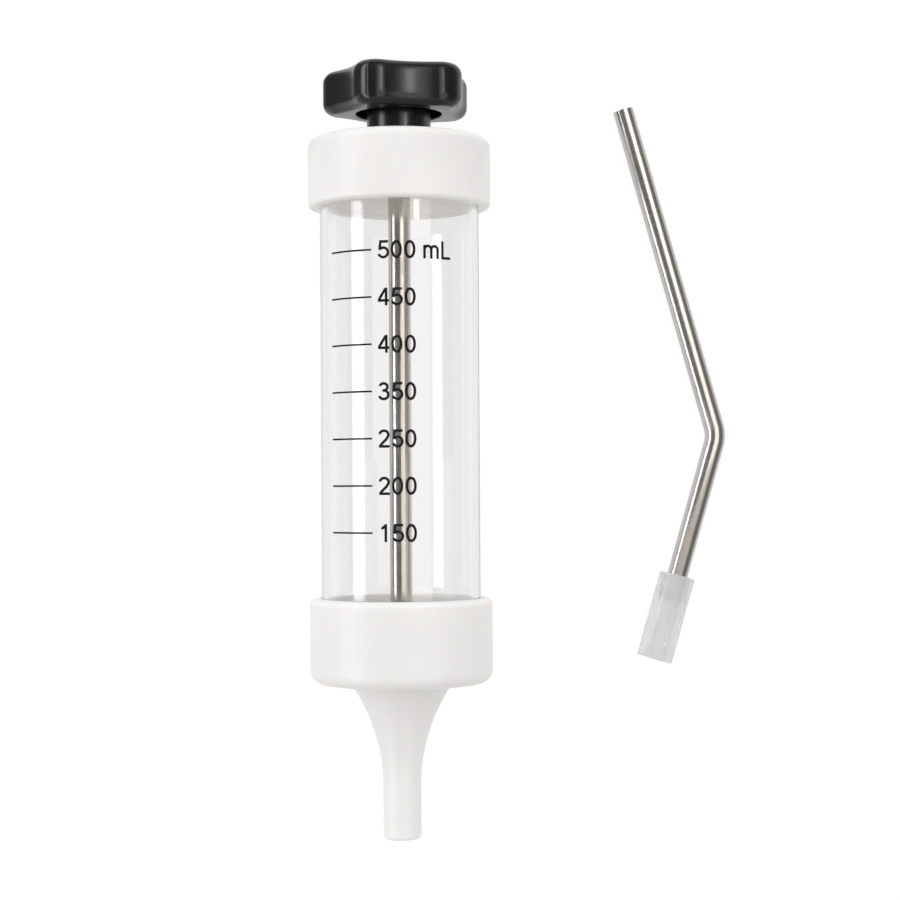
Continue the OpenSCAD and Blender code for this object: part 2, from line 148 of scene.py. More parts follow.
def light(name, description, default):
    """A property that holds the brightness of a card that is seen in reflections."""
    return FloatVectorProperty(name=name, description=description, default=default, min=0, subtype="COLOR")


class DrencherSizes(bpy.types.PropertyGroup):
    """Sizes of the pieces that the frame's boxes don't give."""

    edge: length("Edge", "Rounding of an edge that has none of its own", 0.25 * MM)
    barrel_radius: length("Barrel radius", "Outside radius of the clear barrel", span("nozzle_gasket").radius)
    barrel_wall: length("Barrel wall", "Wall of the clear barrel", 2.5 * MM)
    thread_pitch: length("Thread pitch", "Rise of the cap thread in one turn", 6 * MM)
    thread_height: length("Thread height", "Height of the thread ridge on the barrel", 1.2 * MM)
    thread_root: length("Thread root", "Width of the thread ridge at its root", 2.6 * MM)
    thread_crest: length("Thread crest", "Width of the thread ridge at its crest", 1.4 * MM)
    thread_turns: FloatProperty(
        name="Thread turns", description="Turns of thread ridge at each end of the barrel", default=1.5)
    thread_gap: length("Thread gap", "Space between the barrel's thread and the caps", 0.3 * MM)
    top_cap_mouth: length("Top cap mouth", "Rounding of the top cap at its mouth", 1.7 * MM)
    top_cap_round: length("Top cap round", "Rounding of the top cap's outer end", 3.3 * MM)
    top_cap_end: length("Top cap end", "Thickness of the top cap's end wall", 5.5 * MM)
    bottom_cap_mouth: length("Bottom cap mouth", "Rounding of the bottom cap at its mouth", 2.6 * MM)
    bottom_cap_round: length("Bottom cap round", "Rounding of the bottom cap's outer end", 5.2 * MM)
    bottom_cap_floor: length("Bottom cap floor", "Thickness of the bottom cap's holding floor", 3 * MM)
    vent_radius: length("Vent radius", "Radius of each air vent in the top cap", 1.5 * MM)
    vent_reach: length("Vent reach", "Distance of the air vents from the barrel's axis", 19 * MM)
    vent_count: IntProperty(name="Vents", description="Number of air vents in the top cap", default=2, min=1)
    pocket_radius: length("Pocket radius", "Radius of the clip's pocket in the top cap", 11 * MM)
    pocket_depth: length("Pocket depth", "Depth of the clip's pocket in the top cap", 2.6 * MM)
    bush_radius: length("Bush radius", "Radius of the guide bush's sleeve", 7.5 * MM)
    bush_flange: length("Bush flange", "Thickness of the guide bush's flange", 3 * MM)
    clip_groove: length("Clip groove", "Depth of the clip's groove in the bush", 0.8 * MM)
    running_gap: length("Running gap", "Space on each side of a shaft in its bore", 0.05 * MM)
    nozzle_tip_radius: length("Nozzle tip", "Outside radius of the nozzle's straight tip", 7.65 * MM)
    nozzle_tip_length: length("Nozzle tip length", "Length of the nozzle's straight tip", 21.4 * MM)
    nozzle_neck: length("Nozzle neck", "Radius of the trumpet where it enters the bottom cap", 20.8 * MM)
    nozzle_flange: length("Nozzle flange", "Thickness of the nozzle's flange", 3 * MM)
    nozzle_step: length("Nozzle step", "Step of the shoulder that ends the pipe's socket", 0.65 * MM)
    rod_step: length("Rod step", "Step from the rod to its threaded ends", 1 * MM)
    knob_radius: length("Knob radius", "Radius over the knob's lobes", 30.75 * MM)
    knob_hollow: length("Knob hollow", "Depth of the hollows between the knob's lobes", 5.8 * MM)
    knob_lobe: length("Knob lobe", "Radius of each lobe's tip", 9.2 * MM)
    knob_lobes: IntProperty(name="Lobes", description="Number of lobes on the knob", default=5, min=3)
    knob_turn: angle("Knob turn", "Turn of the knob at rest", -113)
    knob_height: length("Knob height", "Thickness of the knob's lobed head", 17.4 * MM)
    knob_edge: length("Knob edge", "Rounding of the knob's outer edges", 4.6 * MM)
    knob_seam: length("Knob seam", "Height and width of the mould's seam on the knob", 0.15 * MM)
    knob_seam_turn: angle("Knob seam turn", "Turn of that seam from the middle of a lobe", 2)
    knob_hub: length("Knob hub", "Radius of the hub under the head", 12.9 * MM)
    knob_well: length("Knob well", "Width of the well around the hub", 4.45 * MM)
    knob_well_depth: length("Knob well depth", "Depth of the well around the hub", 9 * MM)
    knob_dish: length("Knob dish", "Radius of the shallow dish in the knob's top", 17 * MM)
    knob_dish_depth: length("Knob dish depth", "Depth of that dish", 0.8 * MM)
    insert_end: length("Insert end", "Thickness of the metal insert's closed end", 3 * MM)
    recess_radius: length("Recess radius", "Radius of the nut's recess in the piston", 11 * MM)
    piston_web: length("Piston web", "Thickness of the piston above its recess", 8.2 * MM)
    pipe_wall: length("Pipe wall", "Wall of the drench pipe", 0.8 * MM)
    pipe_bend: length("Pipe bend", "Radius of the pipe's bend at its middle", 15 * MM)
    tip_radius: length("Soft tip radius", "Outside radius of the soft tip", 7.45 * MM)
    tip_length: length("Soft tip length", "Length of the soft tip", 36.3 * MM)
    tip_seat: length("Soft tip seat", "Depth that the pipe goes into the soft tip", 11.3 * MM)
    tip_outlet: length("Soft tip outlet", "Radius of the soft tip's outlet", 3 * MM)
    tip_round: length("Soft tip round", "Rounding of the soft tip's ends", 0.8 * MM)


class DrencherScale(bpy.types.PropertyGroup):
    """The dose scale printed on the barrel."""

    labels: StringProperty(
        name="Labels", description="Numbers of the scale, from the lowest",
        default="150 200 250 350 400 450 500")
    unit: StringProperty(name="Unit", description="Unit after the highest number", default="mL")
    first: length("First mark", "Station of the lowest mark", 123.95 * MM)
    step: length("Step", "Distance from one mark to the next", 18.36 * MM)
    tick_start: length("Tick start", "Far end of a tick, round the barrel from its top line", 30.8 * MM)
    tick_end: length("Tick end", "Near end of a tick, round the barrel from its top line", 10.45 * MM)
    tick_width: length("Tick width", "Width of a tick", 0.68 * MM)
    label_start: length("Label start", "Left side of the numbers, round the barrel from its top line", 8 * MM)
    label_height: length("Label height", "Height of the numbers", 6.95 * MM)
    pen: share("Pen", "Width of a stroke as a share of the numbers' height", 0.15)
    thickness: length("Ink thickness", "Thickness of the printed ink", 0.03 * MM)


class DrencherFinish(bpy.types.PropertyGroup):
    """Colours of the pieces."""

    nylon: colour("Nylon", "Colour of the caps, the nozzle, the bush and the piston", (0.87, 0.868, 0.86))
    clear: colour("Clear", "Tint of the clear barrel", (0.94, 0.938, 0.932))
    ink: colour("Ink", "Colour of the printed scale", (0.006, 0.006, 0.0065))
    knob: colour("Knob", "Colour of the knob", (0.006, 0.006, 0.0065))
    rod: colour("Rod", "Colour of the plunger rod's steel", (0.61, 0.585, 0.55))
    pipe: colour("Pipe", "Colour of the drench pipe's steel", (0.58, 0.565, 0.54))
    zinc: colour("Zinc", "Colour of the plated plate, washers, clip and nut", (0.82, 0.81, 0.79))
    brass: colour("Brass", "Colour of the knob's insert", (0.72, 0.52, 0.22))
    rubber: colour("Rubber", "Colour of the rings and the gasket", (0.018, 0.018, 0.018))
    silicone: colour("Silicone", "Tint of the soft tip", (0.95, 0.95, 0.945))


class DrencherStage(bpy.types.PropertyGroup):
    """The camera, the light and the table."""

    camera_place: FloatVectorProperty(
        name="Camera", description="Where the camera is", default=(-0.02948, -0.01342, 0.84435),
        subtype="TRANSLATION", unit="LENGTH", precision=5)
    camera_roll: angle("Roll", "Turn of the camera about its line of sight", -0.318)
    lens: FloatProperty(name="Lens", description="Focal length of the camera", default=80, unit="CAMERA")
    shift: FloatProperty(
        name="Shift", description="Upward shift of the lens, in frame widths",
        default=SHIFT_PIXELS / FRAME_PIXELS)
    bright_side: FloatVectorProperty(
        name="Bright side", description="Direction that most light comes from", default=(-0.24, 0.81, 0.535),
        subtype="DIRECTION")
    ambient: share("Ambient", "Mean strength of the light from all round", 0.85)
    lean: share("Lean", "How much stronger the light is on the bright side", 0.8)
    brightest: share("Brightest", "Cosine to the bright side above which the light is even", 0.45)
    dim_tint: colour("Dim tint", "Colour of the light on the dim side", (1.0, 0.9, 0.79))
    shadow: share("Shadow", "Share of the table's white that takes shadow", 0.12)
    mirrored_table: share("Mirrored table", "Brightness of the table's white sheet in reflections", 0.92)
    sheet: length("Sheet", "Half of that sheet's width", 0.2)
    sheet_middle: length("Sheet middle", "Where the middle of that sheet is, along X", -0.1)
    mirrored_room: share("Mirrored room", "Brightness of the room around the cards in reflections", 0.3)
    softbox: light("Softbox", "Brightness of the softbox on the left", (5.4, 5.4, 5.7))
    lamp: light("Lamp", "Brightness of the lamp on the right", (7.4, 7.3, 7.2))
    warm_card: light("Warm card", "Brightness of the reflector on the right", (1.75, 1.68, 1.58))
    leg_card: light("Leg card", "Brightness of the card over the pipe's short leg", (0.77, 0.73, 0.68))
    dark_card: light("Dark card", "Brightness of the dark flags", (0.22, 0.21, 0.195))


def unit(vectors):
    """Vectors of length 1 in the same directions."""
    return vectors / np.linalg.norm(vectors, axis=-1, keepdims=True)


# Paths: each gives the centre, the side direction and the up direction at the stations asked for


def barrel_line(stations):
    """The barrel's axis: the mouth plus the station along Y; a turn starts at +X and goes down."""
    ones = np.ones((len(stations), 1))
    centre = MOUTH + np.outer(stations, (0, 1, 0))
    return centre, ones * (1, 0, 0), ones * (0, 0, -1)


def straight_line(origin, direction):
    """A straight axis from a point: origin plus station times direction, with two square directions."""
    side = unit(np.cross(direction, (0, 0, 1)))
    up = np.cross(side, direction)

    def line(stations):
        ones = np.ones((len(stations), 1))
        return origin + np.outer(stations, direction), ones * side, ones * up

    return line


def bent_line(start, first, second, run, bend_radius):
    """A straight run, an arc tangent to it, and a second run tangent to the arc; also the arc's length.

    On the arc the direction turns from first to second in proportion to the distance gone,
    and the centre goes round the bend's middle at the bend radius.
    """
    bend = math.acos(float(first @ second))
    inward = unit(second - first * math.cos(bend))
    up = np.cross(inward, first)
    middle = start + first * run + inward * bend_radius
    arc = bend * bend_radius

    def line(stations):
        turned = np.clip((stations - run) / arc, 0, 1)[:, None] * bend
        along = first * np.cos(turned) + inward * np.sin(turned)
        side = first * np.sin(turned) - inward * np.cos(turned)
        before = np.minimum(stations - run, 0)[:, None] * first
        after = np.maximum(stations - run - arc, 0)[:, None] * along
        return middle + side * bend_radius + before + after, side, np.ones_like(side) * up

    return line, arc


# Profiles: rows of (station, radius), made from corners of (station, radius, rounding)


def rounded(corners, closed=True):
    """A profile through corners, each turned by an arc of its own rounding."""
    points = []
    for i, (station, radius, rounding) in enumerate(corners):
        here = np.array((station, radius))
        if rounding == 0 or (not closed and i in (0, len(corners) - 1)):
            points.append(here[None])
            continue
        back = unit(np.array(corners[i - 1][:2]) - here)
        ahead = unit(np.array(corners[(i + 1) % len(corners)][:2]) - here)
        half = math.acos(np.clip(back @ ahead, -1, 1)) / 2
        centre = here + unit(back + ahead) * rounding / math.sin(half)
        start = here + back * rounding / math.tan(half) - centre
        stop = here + ahead * rounding / math.tan(half) - centre
        first = math.atan2(start[1], start[0])
        turn = (math.atan2(stop[1], stop[0]) - first + math.pi) % FULL_TURN - math.pi
        angles = first + turn * np.linspace(0, 1, CORNER_STEPS + 1)
        points.append(centre + rounding * np.stack((np.cos(angles), np.sin(angles)), -1))
    return np.concatenate(points)


def ring_corners(inner, outer, start, end, edge):
    """Corners of a ring of square section with its edges just broken."""
    return [(start, inner, edge), (start, outer, edge), (end, outer, edge), (end, inner, edge)]


def round_section(station, radius, section):
    """A circle of the section's radius, centred at a station and a radius."""
    angles = np.linspace(0, FULL_TURN, 4 * CORNER_STEPS, endpoint=False)
    return np.stack((station + section * np.cos(angles), radius + section * np.sin(angles)), -1)


def rows_between(start, end, radius, step):
    """Plain corners at even steps along a straight wall, so that a thread can shape it."""
    count = max(2, round(abs(end - start) / step))
    return [(station, radius, 0) for station in np.linspace(start, end, count)]


def arc_corners(centre, radius, first, last):
    """Plain corners on an arc about (station, radius): angles count from the axis side, towards +station."""
    angles = np.linspace(first, last, FLARE_STEPS + 1)
    return [(centre[0] + radius * math.sin(a), centre[1] - radius * math.cos(a), 0) for a in angles]


# Reliefs: what is added to the radius of each row at each angle


def thread_starts(sizes):
    """Stations at which the lower and the upper thread ridge of the barrel start."""
    tube, land = span("barrel_tube"), thread_land(sizes)
    return tube.start + land, tube.end - land - sizes.thread_pitch * sizes.thread_turns


def thread_land(sizes):
    """Distance of a ridge's middle from the barrel's end, which leaves the gap beside its root."""
    return sizes.thread_root / 2 + sizes.thread_gap


def thread_relief(sizes, wall, start, first, last, root, crest):
    """A helical ridge or groove of trapezoid section on the rows close to a wall's radius.

    At turn u the helix is at start + pitch * u. Its height falls from the crest's width to the root's,
    and it fades out over a small share of a turn at its first and last turns.
    """

    def relief(profile, angles):
        station, radius = profile[:, :1], profile[:, 1:]
        best = np.zeros((len(profile), len(angles)))
        for turn in range(math.floor(first) - 1, math.ceil(last) + 1):
            gone = angles / FULL_TURN + turn
            off = np.abs(station - start - sizes.thread_pitch * gone)
            height = np.clip((root / 2 - off) / ((root - crest) / 2), 0, 1)
            live = np.clip((gone - first) / FADE_SHARE, 0, 1) * np.clip((last - gone) / FADE_SHARE, 0, 1)
            best = np.maximum(best, height * live)
        return sizes.thread_height * best * (np.abs(radius - wall) <= 2 * sizes.edge)

    return relief


def hexagon_relief(flat, turn):
    """Cuts a round outline to a turned hexagon: r is at most flat / cos(angle from the nearest flat)."""
    sixth = FULL_TURN / 6

    def relief(profile, angles):
        off = (angles + turn + sixth / 2) % sixth - sixth / 2
        return np.minimum(flat / np.cos(off) - profile[:, 1:], 0)

    return relief


# Meshes


def even_angles(count):
    """Angles of a number of points that stand evenly round a piece."""
    return np.arange(count) * FULL_TURN / count


def carried(line, stations, radius, angles):
    """Points round a line: centre(s) + r * (cos(a) * side(s) + sin(a) * up(s))."""
    centre, side, up = line(stations)
    spokes = np.cos(angles)[None, :, None] * side[:, None] + np.sin(angles)[None, :, None] * up[:, None]
    return centre[:, None] + radius[..., None] * spokes


def surface(name, grid, closed):
    """A mesh over a grid of points, whose rows go along and whose columns go round.

    A closed grid joins its last row to its first, and an open one ends in a pole at each end.
    """
    rows, around = grid.shape[:2]
    if closed:
        vertices = grid.reshape(-1, 3)
        index = np.arange(len(vertices)).reshape(rows, around)
        index = np.concatenate((index, index[:1]))
    else:
        vertices = np.concatenate((grid[0, :1], grid[1:-1].reshape(-1, 3), grid[-1, :1]))
        body = np.arange(1, len(vertices) - 1).reshape(rows - 2, around)
        index = np.concatenate((np.zeros((1, around), int), body, np.full((1, around), len(vertices) - 1)))
    low, high = index[:-1], index[1:]
    quads = np.stack((low, np.roll(low, -1, 1), np.roll(high, -1, 1), high), -1)
    if closed:
        faces = quads.reshape(-1, 4).tolist()
    else:
        faces = quads[1:-1].reshape(-1, 4).tolist()
        faces += quads[0][:, (0, 2, 3)].tolist() + quads[-1][:, (0, 1, 2)].tolist()
    mesh = bpy.data.meshes.new(name)
    mesh.from_pydata(vertices.tolist(), [], faces)
    return finished(name, mesh)


def smooth(mesh):
    """Smooth shading with the sharp edges marked."""
    mesh.shade_smooth()
    mesh.set_sharp_from_angle(angle=SHARP_ANGLE)


def finished(name, mesh):
    """An object of a mesh whose faces point outwards and whose sharp edges are marked."""
    shell = bmesh.new()
    shell.from_mesh(mesh)
    bmesh.ops.recalc_face_normals(shell, faces=shell.faces)
    shell.to_mesh(mesh)
    shell.free()
    smooth(mesh)
    piece = bpy.data.objects.new(name, mesh)
    bpy.context.scene.collection.objects.link(piece)
    return piece


def sweep(name, profile, line=barrel_line, closed=True, relief=None, around=AROUND):
    """A profile carried round a line, its radius plus the relief at each row and angle."""
    angles = even_angles(around)
    radius = profile[:, 1:] + (0 if relief is None else relief(profile, angles))
    return surface(name, carried(line, profile[:, 0], radius, angles), closed)


def cut(piece, cutters):
    """The piece with closed cutters taken out of it. The cutters are used up."""
    for cutter in cutters:
        tool = piece.modifiers.new("Cut", "BOOLEAN")
        tool.object = cutter
        tool.solver = "EXACT"
    depsgraph = bpy.context.evaluated_depsgraph_get()
    mesh = bpy.data.meshes.new_from_object(piece.evaluated_get(depsgraph))
    piece.modifiers.clear()
    piece.data = mesh
    smooth(mesh)
    for cutter in cutters:
        bpy.data.objects.remove(cutter)
    return piece


def fit(piece, body, slot, material, *nodes):
    """Gives a piece its finish and its body, and hides the CAD nodes that it stands for. The slot is not used."""
    piece.data.materials.clear()
    piece.data.materials.append(material)
    normals = piece.modifiers.new("Even normals", "WEIGHTED_NORMAL")
    normals.keep_sharp = True
    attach(piece, body)
    if nodes:
        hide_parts(*nodes)
    return piece


def turn_piece(name, corners, body, slot, material, node, closed=True, **how):
    """A piece turned from corners round a line, fitted in the place of a CAD node."""
    return fit(sweep(name, rounded(corners, closed), closed=closed, **how), body, slot, material, node)


# Materials: noise of a grain's size spreads between two values, or stands as a bump

Grain = namedtuple("Grain", "size detail stretch", defaults=(3.0, (1, 1, 1)))
Spread = namedtuple("Spread", "low high grain")
Bump = namedtuple("Bump", "strength depth grain")
# Scale of noise that is drawn out to long lines along Y
ALONG = (1, 0.02, 1)


def put(tree, node, inputs):
    """Sets each input of a node to a value, or links it to a socket."""
    for key, value in inputs.items():
        if isinstance(value, bpy.types.NodeSocket):
            tree.links.new(value, node.inputs[key])
        else:
            node.inputs[key].default_value = value
    return node


def add_node(tree, kind, inputs=None, **settings):
    """A new node with its settings and its inputs."""
    node = tree.nodes.new(kind)
    for key, value in settings.items():
        setattr(node, key, value)
    return put(tree, node, inputs or {})


def maths(tree, operation, *values, clamped=False):
    """The result of one Math node."""
    return add_node(
        tree, "ShaderNodeMath", dict(enumerate(values)), operation=operation, use_clamp=clamped).outputs[0]


def ranged(tree, value, given, wanted):
    """A value carried from a given range over to the wanted one, and held at its ends."""
    inputs = {"Value": value, "From Min": given[0], "From Max": given[1]}
    inputs.update({"To Min": wanted[0], "To Max": wanted[1]})
    return add_node(tree, "ShaderNodeMapRange", inputs).outputs["Result"]


def shades(tree, value, low, high):
    """A colour between two shades, by a value."""
    ramp = add_node(tree, "ShaderNodeValToRGB", {"Fac": value})
    for stop, position, tone in zip(ramp.color_ramp.elements, SHADE_SHARES, (low, high)):
        stop.position = position
        stop.color = (*tone, 1)
    return ramp.outputs["Color"]


def noise(tree, grain, attribute):
    """Noise on Object coordinates, or on a point attribute of the piece, times the grain's stretch."""
    if attribute:
        source = add_node(tree, "ShaderNodeAttribute", attribute_name=attribute).outputs["Vector"]
    else:
        source = add_node(tree, "ShaderNodeTexCoord").outputs["Object"]
    where = add_node(tree, "ShaderNodeMapping", {"Vector": source, "Scale": grain.stretch})
    inputs = {"Vector": where.outputs["Vector"], "Scale": 1 / grain.size}
    inputs.update({"Detail": grain.detail, "Roughness": NOISE_ROUGHNESS})
    return add_node(tree, "ShaderNodeTexNoise", inputs).outputs["Fac"]


def times(tone, factor):
    """A colour with each channel multiplied by a factor."""
    return tuple(channel * factor for channel in tone)


def patches(tone, factor, size):
    """Patches of about a size, in a tone and in the same tone darkened or lightened by a factor."""
    return Spread(times(tone, min(1, factor)), times(tone, max(1, factor)), Grain(size))


def uneven(name, sockets, rough, tones=None, bumps=(), attribute=None):
    """A material whose roughness, colour and skin vary by noise. Each bump lies on the one before it.

    Its name has a front part of its own, because the frame's slots have materials too.
    """
    name = "drencher_" + name
    material = bpy.data.materials.get(name)
    if material:
        return material
    material = bpy.data.materials.new(name)
    material.use_nodes = True
    tree = material.node_tree
    values = noise(tree, rough.grain, attribute)
    inputs = {**sockets, "Roughness": ranged(tree, values, RANGE_SHARES, (rough.low, rough.high))}
    if tones:
        inputs["Base Color"] = shades(tree, noise(tree, tones.grain, attribute), tones.low, tones.high)
    below = {}
    for bump in bumps:
        height = noise(tree, bump.grain, attribute)
        below["Normal"] = add_node(tree, "ShaderNodeBump", {
            "Height": height, "Strength": bump.strength, "Distance": bump.depth, **below}).outputs["Normal"]
    put(tree, tree.nodes["Principled BSDF"], {**inputs, **below})
    return material


def white_nylon(finish):
    """Moulded white nylon: a little light goes in, the gloss is soft and the skin has a fine grain."""
    sockets = {"Subsurface Weight": 0.9, "Subsurface Radius": (1.0, 0.82, 0.66),
               "Subsurface Scale": 2.5 * MM, "IOR": 1.5, "Specular IOR Level": 0.3}
    return uneven(
        "white_nylon", sockets, rough=Spread(0.34, 0.42, Grain(12 * MM)),
        tones=patches(finish.nylon, 0.975, 30 * MM),
        bumps=(Bump(0.12, 0.05 * MM, Grain(0.5 * MM, 2)), Bump(0.15, 0.1 * MM, Grain(9 * MM, 1))))


def clear_barrel(finish):
    """Clear extruded plastic: a few scuffs, and long draw lines along it."""
    sockets = {"Base Color": (*finish.clear, 1), "Transmission Weight": 1, "IOR": 1.49}
    lines = Bump(0.05, 0.02 * MM, Grain(3 * MM, stretch=ALONG))
    return uneven("clear_barrel", sockets, rough=Spread(0.0, 0.03, Grain(6 * MM)), bumps=(lines,))


def printed_ink(finish):
    """Screen ink: nearly black, a little uneven and dull."""
    return uneven(
        "printed_ink", {"IOR": 1.5, "Specular IOR Level": 0.15}, rough=Spread(0.55, 0.75, Grain(0.3 * MM)),
        tones=patches(finish.ink, 1.8, 0.6 * MM))


def metal(name, tint, rough, stretch, attribute=None):
    """Bright metal whose polishing lines run along or round the piece, with a few duller patches."""
    lines = Grain(0.25 * MM, stretch=stretch)
    low, high = (rough * factor for factor in METAL_ROUGHNESS)
    return uneven(
        name, {"Metallic": 1}, rough=Spread(low, high, lines), tones=patches(tint, 0.93, 14 * MM),
        bumps=(Bump(0.08, 0.01 * MM, lines),), attribute=attribute)


def ground_steel(finish):
    """The plunger rod's steel, ground along its length."""
    return metal("ground_steel", finish.rod, rough=0.2, stretch=ALONG)


def drawn_steel(finish):
    """The drench pipe's steel, drawn along its length, on the pipe's straightened coordinates."""
    return metal("drawn_steel", finish.pipe, rough=0.22, stretch=ALONG, attribute="straight")


def plated_steel(finish):
    """Dull zinc plating with turned lines."""
    return metal("plated_steel", finish.zinc, rough=0.42, stretch=(1, 20, 1))


def turned_brass(finish):
    """Brass with turned lines."""
    return metal("turned_brass", finish.brass, rough=0.3, stretch=(1, 30, 1))


def moulded_black(finish):
    """Hard black moulding: satin, with a fine grain and slightly paler patches."""
    return uneven(
        "moulded_black", {"IOR": 1.5, "Specular IOR Level": 0.45}, rough=Spread(0.18, 0.26, Grain(3 * MM)),
        tones=patches(finish.knob, 1.5, 8 * MM), bumps=(Bump(0.25, 0.05 * MM, Grain(0.35 * MM, 4)),))


def black_rubber(finish):
    """Dull black rubber with a chalky bloom."""
    return uneven(
        "black_rubber", {"IOR": 1.45}, rough=Spread(0.55, 0.75, Grain(1 * MM)),
        tones=patches(finish.rubber, 2.2, 2 * MM), bumps=(Bump(0.2, 0.03 * MM, Grain(0.3 * MM)),))


def cloudy_silicone(finish):
    """Cloudy clear silicone: light goes through it scattered, and its skin is slightly uneven."""
    sockets = {"Transmission Weight": 0.55, "IOR": 1.41, "Coat Weight": 0.8, "Coat Roughness": 0.1,
               "Subsurface Weight": 0.6, "Subsurface Radius": WHITE, "Subsurface Scale": 3 * MM}
    return uneven(
        "cloudy_silicone", sockets, rough=Spread(0.18, 0.28, Grain(4 * MM)),
        tones=patches(finish.silicone, 0.97, 5 * MM), bumps=(Bump(0.15, 0.05 * MM, Grain(1.5 * MM)),))


# Pieces


def chosen(context):
    """The sizes and the finish that the scene holds."""
    return context.scene.drencher_sizes, context.scene.drencher_finish


def thread_end(sizes):
    """Radius of the plunger rod's two threaded ends."""
    return span("plunger_rod").radius - sizes.rod_step


class DRENCHER_OT_barrel(bpy.types.Operator):
    """Clear barrel with a thread ridge at each end."""

    bl_idname = "drencher.barrel"
    bl_label = "Clear barrel"
    bl_options = {"REGISTER", "UNDO"}

    def execute(self, context):
        sizes, finish = chosen(context)
        tube, outer, edge = span("barrel_tube"), sizes.barrel_radius, sizes.edge
        bore, starts = outer - sizes.barrel_wall, thread_starts(sizes)
        room = thread_land(sizes) - 2 * edge
        rise, step = sizes.thread_pitch * sizes.thread_turns, sizes.thread_root / RIDGE_ROWS
        corners = [(tube.start, outer, edge)]
        for start in starts:
            corners += rows_between(start - room, start + rise + room, outer, step)
        corners += [(tube.end, outer, edge), (tube.end, bore, edge), (tube.start, bore, edge)]
        ridges = [thread_relief(sizes, outer, start, 0, sizes.thread_turns, sizes.thread_root,
                                sizes.thread_crest) for start in starts]
        piece = turn_piece(
            "clear_tube", corners, "barrel", "clear_barrel", clear_barrel(finish), "barrel_tube",
            relief=lambda profile, angles: sum(ridge(profile, angles) for ridge in ridges))
        # Soft light goes through the clear wall
        piece.visible_diffuse = False
        return {"FINISHED"}


def bow(x, y, across, up, first, last, steps=24):
    """Points on an ellipse about (x, y), from one angle to another in degrees."""
    angles = np.radians(np.linspace(first, last, steps + 1))
    return np.stack((x + across * np.cos(angles), y + up * np.sin(angles)), -1)


# Advance and pen strokes of each letter, in heights of a digit
DIGIT = 0.757
LETTERS = {
    "0": (DIGIT, [bow(0.332, 0.5, 0.242, 0.437, 90, -270, 48)]),
    "1": (DIGIT, [((0.41, 0), (0.41, 1)), ((0.39, 0.94), (0.33, 0.86), (0.25, 0.79), (0.15, 0.74))]),
    "2": (DIGIT, [(*bow(0.335, 0.71, 0.25, 0.227, 172, -28),
                   (0.46, 0.45), (0.31, 0.31), (0.18, 0.18), (0.11, 0.07)), ((0.04, 0.06), (0.65, 0.06))]),
    "3": (DIGIT, [(*bow(0.33, 0.74, 0.22, 0.197, 165, -80), (0.26, 0.54)),
                  bow(0.335, 0.302, 0.262, 0.24, 100, -165)]),
    "4": (DIGIT, [((0.5, 0), (0.5, 1)), ((0.465, 0.95), (0.08, 0.32)), ((0.025, 0.285), (0.67, 0.285))]),
    "5": (DIGIT, [((0.63, 0.938), (0.19, 0.938), (0.135, 0.47)), bow(0.345, 0.328, 0.268, 0.266, 145, -162)]),
    "m": (1.079, [((0.127, 0), (0.127, 0.76))] + [
        (*bow(x, 0.49, 0.2, 0.215, 170, 0), (x + 0.2, 0)) for x in (0.33, 0.725)]),
    "L": (DIGIT, [((0.16, 1), (0.16, 0.06), (0.7, 0.06))]),
    " ": (0.29, []),
}


